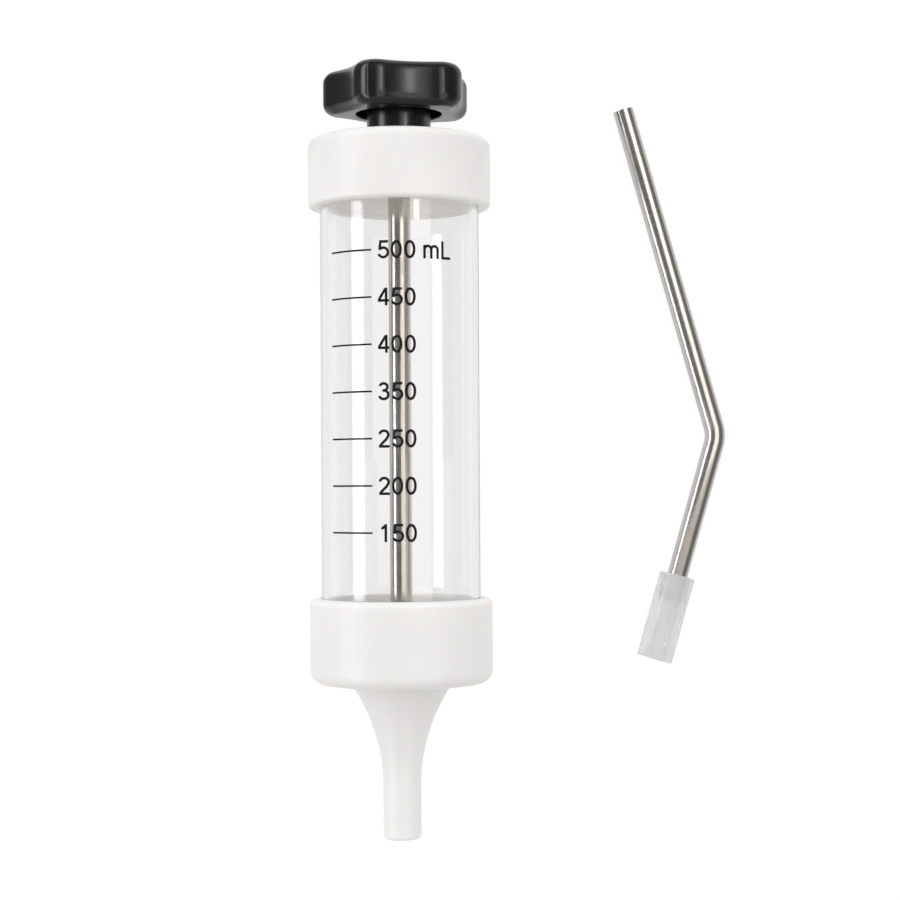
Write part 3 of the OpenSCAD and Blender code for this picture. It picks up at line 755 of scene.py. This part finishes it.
class DRENCHER_OT_dose_scale(bpy.types.Operator):
    """Ticks and numbers printed on the barrel: flat shapes wrapped round it."""

    bl_idname = "drencher.dose_scale"
    bl_label = "Dose scale"
    bl_options = {"REGISTER", "UNDO"}

    def execute(self, context):
        sizes, finish = chosen(context)
        scale = context.scene.drencher_scale
        labels = scale.labels.split()
        labels[-1] += " " + scale.unit
        bands = []
        for i, label in enumerate(labels):
            station = scale.first + i * scale.step
            tick = np.array(((-scale.tick_start, station), (-scale.tick_end, station)))
            bands += [self.band(tick, scale.tick_width), *self.written(label, scale, station)]
        mesh = self.wrapped(self.flat_mesh(bands), sizes.barrel_radius + PRINT_LIFT, scale)
        piece = finished("dose_scale", mesh)
        ink = piece.modifiers.new("Ink", "SOLIDIFY")
        ink.thickness, ink.offset = scale.thickness, 1
        fit(piece, "barrel", "black_knob", printed_ink(finish))
        return {"FINISHED"}

    def written(self, words, scale, station):
        """Bands of a label's letters one after another, with their middle height at a station."""
        bands, pen, height = [], -scale.label_start, scale.label_height
        for letter in words:
            advance, strokes = LETTERS[letter]
            foot = (pen, station - height / 2)
            bands += [self.band(np.array(points) * height + foot, scale.pen * height) for points in strokes]
            pen += advance * height
        return bands

    def band(self, points, width):
        """Left and right sides of a flat band along points, each half a width off, with mitred corners."""
        ahead = unit(np.diff(points, axis=0))
        before, after = np.concatenate((ahead[:1], ahead)), np.concatenate((ahead, ahead[-1:]))
        if np.allclose(points[0], points[-1]):
            before[0], after[-1] = ahead[-1], ahead[0]
        middle = unit(before + after)
        reach = width / 2 / np.sum(middle * after, axis=1, keepdims=True)
        off = np.stack((-middle[:, 1], middle[:, 0]), -1) * reach
        return np.stack((points + off, points - off), 1)

    def flat_mesh(self, bands):
        """All bands as one flat mesh, with a face from each pair of side points to the next."""
        starts = np.cumsum([0] + [2 * len(band) for band in bands[:-1]])
        pairs = np.concatenate([start + 2 * np.arange(len(band) - 1) for start, band in zip(starts, bands)])
        faces = pairs[:, None] + (0, 1, 3, 2)
        places = np.concatenate([band.reshape(-1, 2) for band in bands])
        mesh = bpy.data.meshes.new("dose_scale")
        mesh.from_pydata(np.pad(places, ((0, 0), (0, 1))).tolist(), [], faces.tolist())
        return mesh

    def wrapped(self, mesh, radius, scale):
        """Cuts flat shapes into narrow strips and rolls them round the barrel: angle = x / radius."""
        reach, strip = scale.tick_start, scale.tick_width
        flat = bmesh.new()
        flat.from_mesh(mesh)
        for x in np.arange(-reach, reach, strip):
            everything = flat.verts[:] + flat.edges[:] + flat.faces[:]
            bmesh.ops.bisect_plane(
                flat, geom=everything, dist=strip * JOIN_SHARE, plane_co=(x, 0, 0), plane_no=(1, 0, 0))
        bmesh.ops.remove_doubles(flat, verts=flat.verts, dist=strip * JOIN_SHARE)
        flat.to_mesh(mesh)
        flat.free()
        places = np.empty(3 * len(mesh.vertices))
        mesh.vertices.foreach_get("co", places)
        x, y = places.reshape(-1, 3)[:, :2].T
        turn = x / radius
        rolled = MOUTH + np.stack((radius * np.sin(turn), y, radius * np.cos(turn)), -1)
        mesh.vertices.foreach_set("co", rolled.ravel())
        return mesh


class DRENCHER_OT_caps(bpy.types.Operator):
    """The two screw caps, with the thread groove in each bore and the vents in the top one."""

    bl_idname = "drencher.caps"
    bl_label = "Screw caps"
    bl_options = {"REGISTER", "UNDO"}

    def execute(self, context):
        sizes, finish = chosen(context)
        bore, nylon = sizes.barrel_radius + sizes.thread_gap, white_nylon(finish)
        lower, upper = thread_starts(sizes)
        self.top(sizes, nylon, bore, upper)
        self.bottom(sizes, nylon, bore, lower)
        return {"FINISHED"}

    def groove(self, sizes, bore, start, first, last):
        """The helical groove that the barrel's ridge runs in, wider than the ridge by the gap all round."""
        slope = (sizes.thread_root - sizes.thread_crest) / sizes.thread_height
        mouth = sizes.thread_root - slope * sizes.thread_gap + 2 * sizes.thread_gap
        return thread_relief(sizes, bore, start, first, last, mouth, mouth - slope * sizes.thread_height)

    def wall(self, sizes, bore, start, end):
        """Rows along a cap's bore, between its two rounded ends."""
        room = math.copysign(2 * sizes.edge, end - start)
        return rows_between(start + room, end - room, bore, sizes.thread_root / GROOVE_ROWS)

    def top(self, sizes, nylon, bore, thread):
        """The top cap: its bore, its rounded outside, the clip's pocket, the bush's hole and the vents."""
        cap, edge = span("top_cap"), sizes.edge
        inside, hole = cap.end - sizes.top_cap_end, sizes.bush_radius + sizes.running_gap
        pocket, reach = cap.end - sizes.pocket_depth, sizes.pocket_radius
        corners = [(inside, hole, edge), (inside, bore, edge), *self.wall(sizes, bore, inside, cap.start)]
        corners += [
            (cap.start, bore, edge), (cap.start, cap.radius, sizes.top_cap_mouth),
            (cap.end, cap.radius, sizes.top_cap_round), (cap.end, reach, edge),
            (pocket, reach, edge), (pocket, hole, edge),
        ]
        turns = math.ceil((thread - cap.start) / sizes.thread_pitch) + 1
        relief = self.groove(sizes, bore, thread, -turns, sizes.thread_turns + LEAD_SHARE)
        piece = cut(sweep("top_screw_cap", rounded(corners), relief=relief),
                    [self.vent(sizes, cap, a) for a in even_angles(sizes.vent_count)])
        fit(piece, "top_cap", "white_nylon", nylon, "top_cap")
        # Soft light reaches the inside of the cap through its nylon
        piece.visible_diffuse = False

    def vent(self, sizes, cap, turn):
        """A cutter for one air vent, longer than the cap's end wall on both sides."""
        start, end = cap.end - 2 * sizes.top_cap_end, cap.end + sizes.top_cap_end
        reach = np.array((math.cos(turn), 0, -math.sin(turn))) * sizes.vent_reach
        line = straight_line(MOUTH + reach, np.array((0.0, 1.0, 0.0)))
        profile = np.array(((start, 0), (start, sizes.vent_radius), (end, sizes.vent_radius), (end, 0)))
        return sweep("vent", profile, line, closed=False, around=AROUND_VENT)

    def bottom(self, sizes, nylon, bore, thread):
        """The bottom cap: the nozzle's hole, its rounded outside, and its bore down to the holding floor."""
        cap, edge = span("bottom_cap"), sizes.edge
        floor, hole = cap.start + sizes.bottom_cap_floor, sizes.nozzle_neck + sizes.thread_gap
        corners = [
            (floor, hole, edge), (cap.start, hole, edge), (cap.start, cap.radius, sizes.bottom_cap_round),
            (cap.end, cap.radius, sizes.bottom_cap_mouth), (cap.end, bore, edge),
            *self.wall(sizes, bore, cap.end, floor), (floor, bore, edge),
        ]
        turns = math.ceil((cap.end - thread) / sizes.thread_pitch) + 1
        turn_piece("bottom_screw_cap", corners, "bottom_cap", "white_nylon", nylon, "bottom_cap",
                   relief=self.groove(sizes, bore, thread, -LEAD_SHARE, turns))


class DRENCHER_OT_nozzle(bpy.types.Operator):
    """Trumpet nozzle: a straight tip, an arc that flares to the neck, and a flange inside the cap.

    The flare's radius is (rise ** 2 + out ** 2) / (2 * out), so that it leaves the tip without a kink.
    """

    bl_idname = "drencher.nozzle"
    bl_label = "Nozzle"
    bl_options = {"REGISTER", "UNDO"}

    def execute(self, context):
        sizes, finish = chosen(context)
        body, ring, edge, gap = span("nozzle"), span("nozzle_grip_ring"), sizes.edge, sizes.running_gap
        tip, neck, straight = sizes.nozzle_tip_radius, sizes.nozzle_neck, sizes.nozzle_tip_length
        under, groove = body.end - sizes.nozzle_flange, ring.radius + gap
        flow = SOCKET_RADIUS - sizes.nozzle_step
        rise, out = span("bottom_cap").start - straight, neck - tip
        flare = (rise ** 2 + out ** 2) / (2 * out)
        centre, inner = (straight, tip + flare), tip + flare - flow
        corners = [
            (0, SOCKET_RADIUS, edge), (0, tip, (tip - SOCKET_RADIUS) / 2),
            *arc_corners(centre, flare, 0, math.asin(rise / flare)),
            (under, neck, edge), (under, body.radius, edge), (body.end, body.radius, edge),
            *arc_corners(centre, inner, math.asin((body.end - straight) / inner), 0),
            (SOCKET_DEPTH, flow, edge), (SOCKET_DEPTH, SOCKET_RADIUS, 0),
            (ring.end + gap, SOCKET_RADIUS, 0), (ring.end + gap, groove, edge),
            (ring.start - gap, groove, edge), (ring.start - gap, SOCKET_RADIUS, 0),
        ]
        turn_piece("trumpet_nozzle", corners, "nozzle", "white_nylon", white_nylon(finish), "nozzle")
        return {"FINISHED"}


class DRENCHER_OT_seals(bpy.types.Operator):
    """Rubber seals: the gasket, the grip ring and the two piston rings."""

    bl_idname = "drencher.seals"
    bl_label = "Seals"
    bl_options = {"REGISTER", "UNDO"}

    def execute(self, context):
        sizes, finish = chosen(context)
        rubber, gasket = black_rubber(finish), span("nozzle_gasket")
        inner = sizes.barrel_radius - sizes.barrel_wall + sizes.thread_gap
        corners = ring_corners(inner, gasket.radius, gasket.start, gasket.end, sizes.edge)
        turn_piece("gasket", corners, "nozzle", "black_rubber", rubber, "nozzle_gasket")
        for node, body in (("nozzle_grip_ring", "nozzle"), ("piston_ring_lower", "piston"),
                           ("piston_ring_upper", "piston")):
            ring = span(node)
            section = (ring.end - ring.start) / 2
            profile = round_section(ring.start + section, ring.radius - section, section)
            fit(sweep(node + "_seal", profile), body, "black_rubber", rubber, node)
        return {"FINISHED"}


class DRENCHER_OT_plunger(bpy.types.Operator):
    """Plunger rod with its stepped ends, and the collar at its foot."""

    bl_idname = "drencher.plunger"
    bl_label = "Plunger rod"
    bl_options = {"REGISTER", "UNDO"}

    def execute(self, context):
        sizes, finish = chosen(context)
        rod, collar, hub = span("plunger_rod"), span("rod_collar"), span("knob").start
        edge, thin, shine = sizes.edge, thread_end(sizes), ground_steel(finish)
        corners = [
            (rod.start, 0, 0), (rod.start, thin, edge), (collar.end, thin, 0), (collar.end, rod.radius, edge),
            (hub, rod.radius, edge), (hub, thin, 0), (rod.end, thin, edge), (rod.end, 0, 0),
        ]
        turn_piece("rod", corners, "plunger", "rod_steel", shine, "plunger_rod", closed=False)
        corners = ring_corners(thin, collar.radius, collar.start, collar.end, 2 * edge)
        turn_piece("collar", corners, "plunger", "rod_steel", shine, "rod_collar")
        return {"FINISHED"}


class DRENCHER_OT_knob(bpy.types.Operator):
    """Lobed knob with its hub, and the metal insert in the hub."""

    bl_idname = "drencher.knob"
    bl_label = "Knob"
    bl_options = {"REGISTER", "UNDO"}

    def execute(self, context):
        sizes, finish = chosen(context)
        body, insert, edge = span("knob"), span("knob_insert"), sizes.edge
        self.lobed_head(sizes, moulded_black(finish), body, insert)
        bore, bottom, outer = thread_end(sizes), insert.end - sizes.insert_end, insert.radius
        corners = [
            (bottom, 0, 0), (bottom, bore, edge), (body.start, bore, edge), (insert.start, outer, edge),
            (insert.end, outer, edge), (insert.end, 0, 0),
        ]
        brass = turned_brass(finish)
        turn_piece("brass_insert", corners, "plunger", "brass", brass, "knob_insert", closed=False)
        return {"FINISHED"}

    def outline(self, sizes, inset, angles):
        """Radius of the lobed plan at each angle, drawn in by an inset.

        Tip arcs of the lobe's radius are joined by hollow arcs tangent to them. Drawing the plan in by
        an inset takes it off the lobe's radius and adds it to the hollow's, about the same centres.
        """
        pitch = FULL_TURN / sizes.knob_lobes
        lobe_mid = sizes.knob_radius - sizes.knob_lobe
        hollow = sizes.knob_radius - sizes.knob_hollow
        turn = math.cos(pitch / 2)
        dent = (lobe_mid ** 2 + hollow ** 2 - 2 * lobe_mid * hollow * turn - sizes.knob_lobe ** 2) / (
            2 * (sizes.knob_lobe - hollow + lobe_mid * turn))
        dent_mid = hollow + dent
        lean = math.asin(math.sin(pitch / 2) * dent_mid / (dent + sizes.knob_lobe))
        lobe = sizes.knob_lobe - inset
        join = np.arctan2(lobe * math.sin(lean), lobe_mid + lobe * math.cos(lean))
        from_tip = np.abs((angles + pitch / 2) % pitch - pitch / 2)
        from_dent = pitch / 2 - from_tip
        tip = np.sqrt(np.maximum(lobe ** 2 - (lobe_mid * np.sin(from_tip)) ** 2, 0))
        low = np.sqrt(np.maximum((dent + inset) ** 2 - (dent_mid * np.sin(from_dent)) ** 2, 0))
        lobes, dents = lobe_mid * np.cos(from_tip) + tip, dent_mid * np.cos(from_dent) - low
        return np.where(from_tip < join, lobes, dents)

    def lobed_head(self, sizes, black, body, insert):
        """Rows from the dish in the top, over the lobed head, into the well, round the hub and up its bore.

        Rows above and below the head are circles. Between them each row is the lobed plan, drawn in as
        the edge rounds, plus the seam's ridge: seam * exp(-(distance from the seam / seam) ** 2).
        """
        edge, head = sizes.edge, body.end - sizes.knob_height
        dish, floor = sizes.knob_dish, body.end - sizes.knob_dish_depth
        well, hub = sizes.knob_hub + sizes.knob_well, sizes.knob_hub
        ceiling = head + sizes.knob_well_depth
        above = rounded([(floor, 0, 0), (floor, dish - sizes.knob_dish_depth, edge), (body.end, dish, edge),
                         (body.end, dish + 2 * edge, 0)], closed=False)
        below = rounded([(head, well + 4 * edge, 0), (head, well, 2 * edge), (ceiling, well, 4 * edge),
                         (ceiling, hub, 4 * edge), (body.start, hub, 2 * edge),
                         (body.start, insert.radius, edge), (insert.end, insert.radius, edge),
                         (insert.end, 0, 0)], closed=False)
        turn = np.linspace(0, math.pi / 2, KNOB_EDGE_STEPS + 1)
        drawn_in = sizes.knob_edge * (1 - np.sin(turn))
        drop = sizes.knob_edge * (1 - np.cos(turn))
        angles = even_angles(AROUND_KNOB)
        from_lobe = angles - sizes.knob_turn
        lobed = self.outline(sizes, np.concatenate((drawn_in, drawn_in[::-1]))[:, None], from_lobe[None])
        off_seam = sizes.knob_radius * np.sin(from_lobe - sizes.knob_seam_turn)
        lobed = lobed + sizes.knob_seam * np.exp(-(off_seam / sizes.knob_seam) ** 2)
        upper, lower = (np.repeat(rows[:, 1:], len(angles), 1) for rows in (above, below))
        radius = np.concatenate((upper, lobed, lower))
        stations = np.concatenate((above[:, 0], body.end - drop, head + drop[::-1], below[:, 0]))
        piece = surface("lobed_knob", carried(barrel_line, stations, radius, angles), closed=False)
        fit(piece, "plunger", "black_knob", black, "knob")


class DRENCHER_OT_piston(bpy.types.Operator):
    """Piston core with its ring grooves, the plate over it, and the washer and nut under it."""

    bl_idname = "drencher.piston"
    bl_label = "Piston"
    bl_options = {"REGISTER", "UNDO"}

    def execute(self, context):
        sizes, finish = chosen(context)
        core, edge, gap = span("piston_core"), sizes.edge, sizes.running_gap
        thin, zinc = thread_end(sizes), plated_steel(finish)
        recess, hole = core.end - sizes.piston_web, thin + gap
        corners = [(core.start, sizes.recess_radius, 2 * edge), (core.start, core.radius, 2 * edge)]
        for node in ("piston_ring_lower", "piston_ring_upper"):
            ring = span(node)
            floor = ring.radius - (ring.end - ring.start) - gap
            corners += [(ring.start - gap, core.radius, edge / 2), (ring.start - gap, floor, edge),
                        (ring.end + gap, floor, edge), (ring.end + gap, core.radius, edge / 2)]
        corners += [(core.end, core.radius, 2 * edge), (core.end, hole, edge), (recess, hole, edge),
                    (recess, sizes.recess_radius, edge)]
        turn_piece("piston_body", corners, "piston", "white_nylon", white_nylon(finish), "piston_core")
        for node, name, body, inner in (("piston_plate", "backing_plate", "piston", hole),
                                        ("piston_washer", "lower_washer", "plunger", thin)):
            ring = span(node)
            corners = ring_corners(inner, ring.radius, ring.start, ring.end, edge)
            turn_piece(name, corners, body, "steel", zinc, node)
        self.nut(thin, edge, zinc)
        return {"FINISHED"}

    def nut(self, thin, edge, zinc):
        """A hexagon nut with its corners turned off at both ends."""
        nut = span("piston_nut")
        low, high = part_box("piston_nut")
        wide, tall = high.x - low.x, high.z - low.z
        twelfth = FULL_TURN / 12
        flat = min(wide, tall) / 2
        corner = flat / math.cos(twelfth)
        slope = (corner - flat) * math.tan(twelfth)
        corners = [(nut.start, thin, edge), (nut.start, flat, 0), (nut.start + slope, corner, 0),
                   (nut.end - slope, corner, 0), (nut.end, flat, 0), (nut.end, thin, edge)]
        turn_piece("hex_nut", corners, "plunger", "steel", zinc, "piston_nut", around=AROUND_NUT,
                   relief=hexagon_relief(flat, 0 if tall > wide else twelfth))


class DRENCHER_OT_guide(bpy.types.Operator):
    """Guide bush in the top cap, and the finish of its washer and clip."""

    bl_idname = "drencher.guide"
    bl_label = "Guide bush"
    bl_options = {"REGISTER", "UNDO"}

    def execute(self, context):
        sizes, finish = chosen(context)
        bush, clip, edge = span("guide_bush"), span("guide_clip"), sizes.edge
        hole, sleeve = span("plunger_rod").radius + sizes.running_gap, sizes.bush_radius
        flange, groove = bush.start + sizes.bush_flange, sleeve - sizes.clip_groove
        corners = [
            (bush.start, hole, edge), (bush.start, bush.radius, edge), (flange, bush.radius, edge),
            (flange, sleeve, 0), (clip.start, sleeve, 0), (clip.start, groove, 0), (clip.end, groove, 0),
            (clip.end, sleeve, 0), (bush.end, sleeve, edge), (bush.end, hole, edge),
        ]
        turn_piece("rod_bush", corners, "guide", "white_nylon", white_nylon(finish), "guide_bush")
        for node in ("guide_washer", "guide_clip"):
            shown = frame["nodes"][node]
            shown.data.materials.clear()
            shown.data.materials.append(plated_steel(finish))
        return {"FINISHED"}


class DRENCHER_OT_drench_pipe(bpy.types.Operator):
    """Bent drench pipe: a thin wall carried along two straight runs and the bend between them."""

    bl_idname = "drencher.drench_pipe"
    bl_label = "Drench pipe"
    bl_options = {"REGISTER", "UNDO"}

    def execute(self, context):
        sizes, finish = chosen(context)
        line, arc = bent_line(PIPE_END, PIPE_AXIS, TIP_AXIS, PIPE_RUN, sizes.pipe_bend)
        bend = np.linspace(PIPE_RUN, PIPE_RUN + arc, BEND_ROWS)
        foot = self.foot(line, PIPE_RUN + arc)
        bore, edge = PIPE_RADIUS - sizes.pipe_wall, sizes.edge
        profile = rounded([
            (0, bore, edge), (0, PIPE_RADIUS, edge), *((station, PIPE_RADIUS, 0) for station in bend),
            (foot, PIPE_RADIUS, edge), (foot, bore, edge), *((station, bore, 0) for station in bend[::-1]),
        ])
        piece = sweep("bent_pipe", profile, line, around=AROUND_PIPE)
        # The same points on a straight pipe, for a finish that follows the bend
        angles = even_angles(AROUND_PIPE)
        station, radius = np.broadcast_arrays(profile[:, :1], angles)[0], profile[:, 1:]
        flat = np.stack((radius * np.cos(angles), station, radius * np.sin(angles)), -1)
        straight = piece.data.attributes.new("straight", "FLOAT_VECTOR", "POINT")
        straight.data.foreach_set("vector", flat.ravel().astype(np.float32))
        fit(piece, "drench_pipe", "pipe_steel", drawn_steel(finish), "drench_pipe")
        return {"FINISHED"}

    def foot(self, line, bend_end):
        """Station of the pipe's end below the bend, from the CAD node's lowest Y."""
        centre = line(np.array([bend_end]))[0]
        rim = PIPE_RADIUS * math.hypot(TIP_AXIS[0], TIP_AXIS[2])
        return bend_end + (centre[0, 1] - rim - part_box("drench_pipe")[0].y) / -TIP_AXIS[1]


class DRENCHER_OT_soft_tip(bpy.types.Operator):
    """Soft tip pushed over the pipe's end: a thick sleeve with a seat and a narrower outlet."""

    bl_idname = "drencher.soft_tip"
    bl_label = "Soft tip"
    bl_options = {"REGISTER", "UNDO"}

    def execute(self, context):
        sizes, finish = chosen(context)
        low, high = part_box("soft_tip")
        mouth = np.array((low + high) / 2) - TIP_AXIS * sizes.tip_length / 2
        seat, stop = PIPE_RADIUS + sizes.running_gap, sizes.tip_seat + sizes.running_gap
        end, outer, outlet, edge = sizes.tip_length, sizes.tip_radius, sizes.tip_outlet, sizes.edge
        corners = [
            (0, seat, edge), (0, outer, sizes.tip_round), (end, outer, sizes.tip_round), (end, outlet, edge),
            (stop, outlet, edge), (stop, seat, 0),
        ]
        turn_piece("silicone_tip", corners, "soft_tip", "soft_silicone", cloudy_silicone(finish), "soft_tip",
                   line=straight_line(mouth, TIP_AXIS), around=AROUND_PIPE)
        return {"FINISHED"}


# A card stands between two angles to the right of straight up, in degrees, at a distance from its line,
# between two ends along Y, and glows in one of the stage's tones. Lamps stand just inside the long cards.
Card = namedtuple("Card", "name first last distance start end tone")
CARD_AWAY = 1.0
LAMP_AWAY = 0.99
REACH = 1.5
BARREL_CARDS = (
    Card("left_softbox", -71, -53.5, LAMP_AWAY, -REACH, REACH, "softbox"),
    Card("overhead_flag", -40, 5, CARD_AWAY, -REACH, REACH, "dark_card"),
    Card("warm_reflector", 6, 47, CARD_AWAY, -REACH, REACH, "warm_card"),
    Card("right_lamp", 22, 30, LAMP_AWAY, 0.22, 0.75, "lamp"),
    Card("right_flag", 47, 98, CARD_AWAY, -REACH, REACH, "dark_card"),
    Card("left_knob_flag", -122, -72, 0.07, 0.13, 0.22, "dark_card"),
    Card("right_knob_flag", 30, 60, 0.1, 0.14, 0.22, "dark_card"),
)
PIPE_CARD = Card("leg_card", -38, 42, 0.1, -0.1, 0, "leg_card")


class DRENCHER_OT_stage(bpy.types.Operator):
    """White table, soft light from all round, reflection cards and the camera above."""

    bl_idname = "drencher.stage"
    bl_label = "Stage"
    bl_options = {"REGISTER", "UNDO"}

    def execute(self, context):
        scene, stage = context.scene, context.scene.drencher_stage
        scene.view_settings.view_transform = "Standard"
        self.camera(scene, stage)
        self.world(scene, stage)
        self.table(stage)
        for card in BARREL_CARDS:
            self.card(stage, card, MOUTH[0], MOUTH[2])
        low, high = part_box("drench_pipe")
        self.card(stage, PIPE_CARD, (low.x + high.x) / 2, PIPE_RADIUS)
        return {"FINISHED"}

    def camera(self, scene, stage):
        """A camera that looks straight down, turned by its roll."""
        data = bpy.data.cameras.new("camera")
        data.lens, data.shift_y = stage.lens, stage.shift
        camera = bpy.data.objects.new("camera", data)
        camera.location = stage.camera_place
        camera.rotation_euler = (0, 0, stage.camera_roll)
        scene.collection.objects.link(camera)
        scene.camera = camera

    def seen(self, tree):
        """1 for camera, glossy and transmission rays, and 0 for the rays that only light things."""
        path = add_node(tree, "ShaderNodeLightPath").outputs
        kinds = maths(tree, "ADD", path["Is Camera Ray"], path["Is Glossy Ray"])
        return maths(tree, "ADD", kinds, path["Is Transmission Ray"], clamped=True)

    def mirrored(self, tree):
        """1 once a ray has been reflected, even if it has gone through the barrel since, and else 0."""
        return maths(tree, "MINIMUM", add_node(tree, "ShaderNodeLightPath").outputs["Glossy Depth"], 1.0)

    def mixed(self, tree, part, first, second):
        """Two shaders mixed: the second one's part, and the first one's rest."""
        inputs = {0: part, 1: first.outputs[0], 2: second.outputs[0]}
        return add_node(tree, "ShaderNodeMixShader", inputs).outputs[0]

    def world(self, scene, stage):
        """White where it is seen. Where it lights, it goes from dim and warm to bright and white."""
        world = bpy.data.worlds.new("studio")
        scene.world = world
        world.use_nodes = True
        world.cycles.sampling_method = "NONE"
        tree = world.node_tree
        around = add_node(tree, "ShaderNodeTexCoord").outputs["Generated"]
        inputs = {0: around, 1: stage.bright_side}
        side = add_node(tree, "ShaderNodeVectorMath", inputs, operation="DOT_PRODUCT").outputs["Value"]
        cosines = (-1.0, stage.brightest)
        levels = (stage.ambient * (1 - stage.lean), stage.ambient * (1 + stage.lean * stage.brightest))
        tone = shades(tree, ranged(tree, side, cosines, (0, 1)), stage.dim_tint, WHITE)
        glow = put(tree, tree.nodes["Background"], {
            "Color": tone, "Strength": ranged(tree, side, cosines, levels)})
        strength = ranged(tree, self.mirrored(tree), (0, 1), (1, stage.mirrored_room))
        white = add_node(tree, "ShaderNodeBackground", {"Color": (*WHITE, 1), "Strength": strength})
        put(tree, tree.nodes["World Output"], {"Surface": self.mixed(tree, self.seen(tree), glow, white)})

    def table(self, stage):
        """A white table top that glows white where it is seen, and takes a soft shadow.

        In reflections it shows a white sheet, which fades out to the room on both sides along X.
        """
        corners = [(x * TABLE_HALF, y * TABLE_HALF, 0) for x, y in ((-1, -1), (1, -1), (1, 1), (-1, 1))]
        tree = self.stand("table", corners, [(0, 1, 2, 3)]).active_material.node_tree
        place = add_node(tree, "ShaderNodeTexCoord").outputs["Object"]
        across = add_node(tree, "ShaderNodeSeparateXYZ", {0: place}).outputs["X"]
        off = maths(tree, "ABSOLUTE", maths(tree, "SUBTRACT", across, stage.sheet_middle))
        sheet = ranged(tree, off, (stage.sheet, SHEET_FADED * stage.sheet),
                       (stage.mirrored_table, stage.mirrored_room))
        strength = ranged(tree, self.mirrored(tree), (0, 1), (TABLE_GLOW, sheet))
        paint = add_node(tree, "ShaderNodeBsdfDiffuse", {"Color": (*times(WHITE, TABLE_PAINT), 1)})
        glow = add_node(tree, "ShaderNodeEmission", {"Color": (*WHITE, 1), "Strength": strength})
        lit = maths(tree, "MULTIPLY", self.seen(tree), 1 - stage.shadow)
        add_node(tree, "ShaderNodeOutputMaterial", {"Surface": self.mixed(tree, lit, paint, glow)})

    def stand(self, name, vertices, faces):
        """An object that stands on the stage, with an empty material."""
        mesh = bpy.data.meshes.new(name)
        mesh.from_pydata(vertices, [], faces)
        material = bpy.data.materials.new(name)
        material.use_nodes = True
        material.node_tree.nodes.clear()
        material.cycles.emission_sampling = "NONE"
        mesh.materials.append(material)
        item = bpy.data.objects.new(name, mesh)
        bpy.context.scene.collection.objects.link(item)
        return item

    def card(self, stage, card, x, z):
        """A card curved about a line along Y at x and z. Only rays that have been reflected see it."""
        angles = np.radians(np.linspace(card.first, card.last, CARD_STEPS + 1))
        arc = np.stack((np.sin(angles), np.zeros_like(angles), np.cos(angles)), -1) * card.distance
        ends = np.array(((x, card.start, z), (x, card.end, z)))
        vertices = (arc[None] + ends[:, None]).reshape(-1, 3)
        low = np.arange(CARD_STEPS)
        faces = np.stack((low, low + 1, low + 1 + len(angles), low + len(angles)), -1)
        item = self.stand(card.name, vertices.tolist(), faces.tolist())
        tree = item.active_material.node_tree
        clear = add_node(tree, "ShaderNodeBsdfTransparent")
        tone = (*getattr(stage, card.tone), 1)
        glow = add_node(tree, "ShaderNodeEmission", {"Color": tone, "Strength": 1.0})
        add_node(tree, "ShaderNodeOutputMaterial", {
            "Surface": self.mixed(tree, self.mirrored(tree), clear, glow)})
        item.visible_camera = item.visible_diffuse = item.visible_shadow = item.visible_volume_scatter = False


OPERATORS = (
    DRENCHER_OT_barrel, DRENCHER_OT_dose_scale, DRENCHER_OT_caps, DRENCHER_OT_nozzle, DRENCHER_OT_seals,
    DRENCHER_OT_plunger, DRENCHER_OT_knob, DRENCHER_OT_piston, DRENCHER_OT_guide, DRENCHER_OT_drench_pipe,
    DRENCHER_OT_soft_tip, DRENCHER_OT_stage,
)
GROUPS = {
    "drencher_sizes": DrencherSizes, "drencher_scale": DrencherScale, "drencher_finish": DrencherFinish,
    "drencher_stage": DrencherStage,
}


class DRENCHER_PT_panel(bpy.types.Panel):
    """Lists the pieces to build and the values to change."""

    bl_idname = "DRENCHER_PT_panel"
    bl_label = "Livestock drencher"
    bl_space_type = "VIEW_3D"
    bl_region_type = "UI"
    bl_category = "Drencher"

    def draw(self, context):
        column = self.layout.column(align=True)
        for operator in OPERATORS:
            column.operator(operator.bl_idname)
        for group in GROUPS:
            values = getattr(context.scene, group)
            box = self.layout.box()
            for name in values.bl_rna.properties.keys():
                if name not in ("rna_type", "name"):
                    box.prop(values, name)


def register():
    """Registers the classes and gives the scene its groups of values."""
    for made in (*GROUPS.values(), *OPERATORS, DRENCHER_PT_panel):
        bpy.utils.register_class(made)
    for name, group in GROUPS.items():
        setattr(bpy.types.Scene, name, PointerProperty(type=group))


def unregister():
    """Takes back what register did."""
    for name in GROUPS:
        delattr(bpy.types.Scene, name)
    for made in (DRENCHER_PT_panel, *reversed(OPERATORS), *reversed(GROUPS.values())):
        bpy.utils.unregister_class(made)


def main():
    register()
    for operator in OPERATORS:
        family, name = operator.bl_idname.split(".")
        getattr(getattr(bpy.ops, family), name)()


if __name__ == "__main__":
    main()
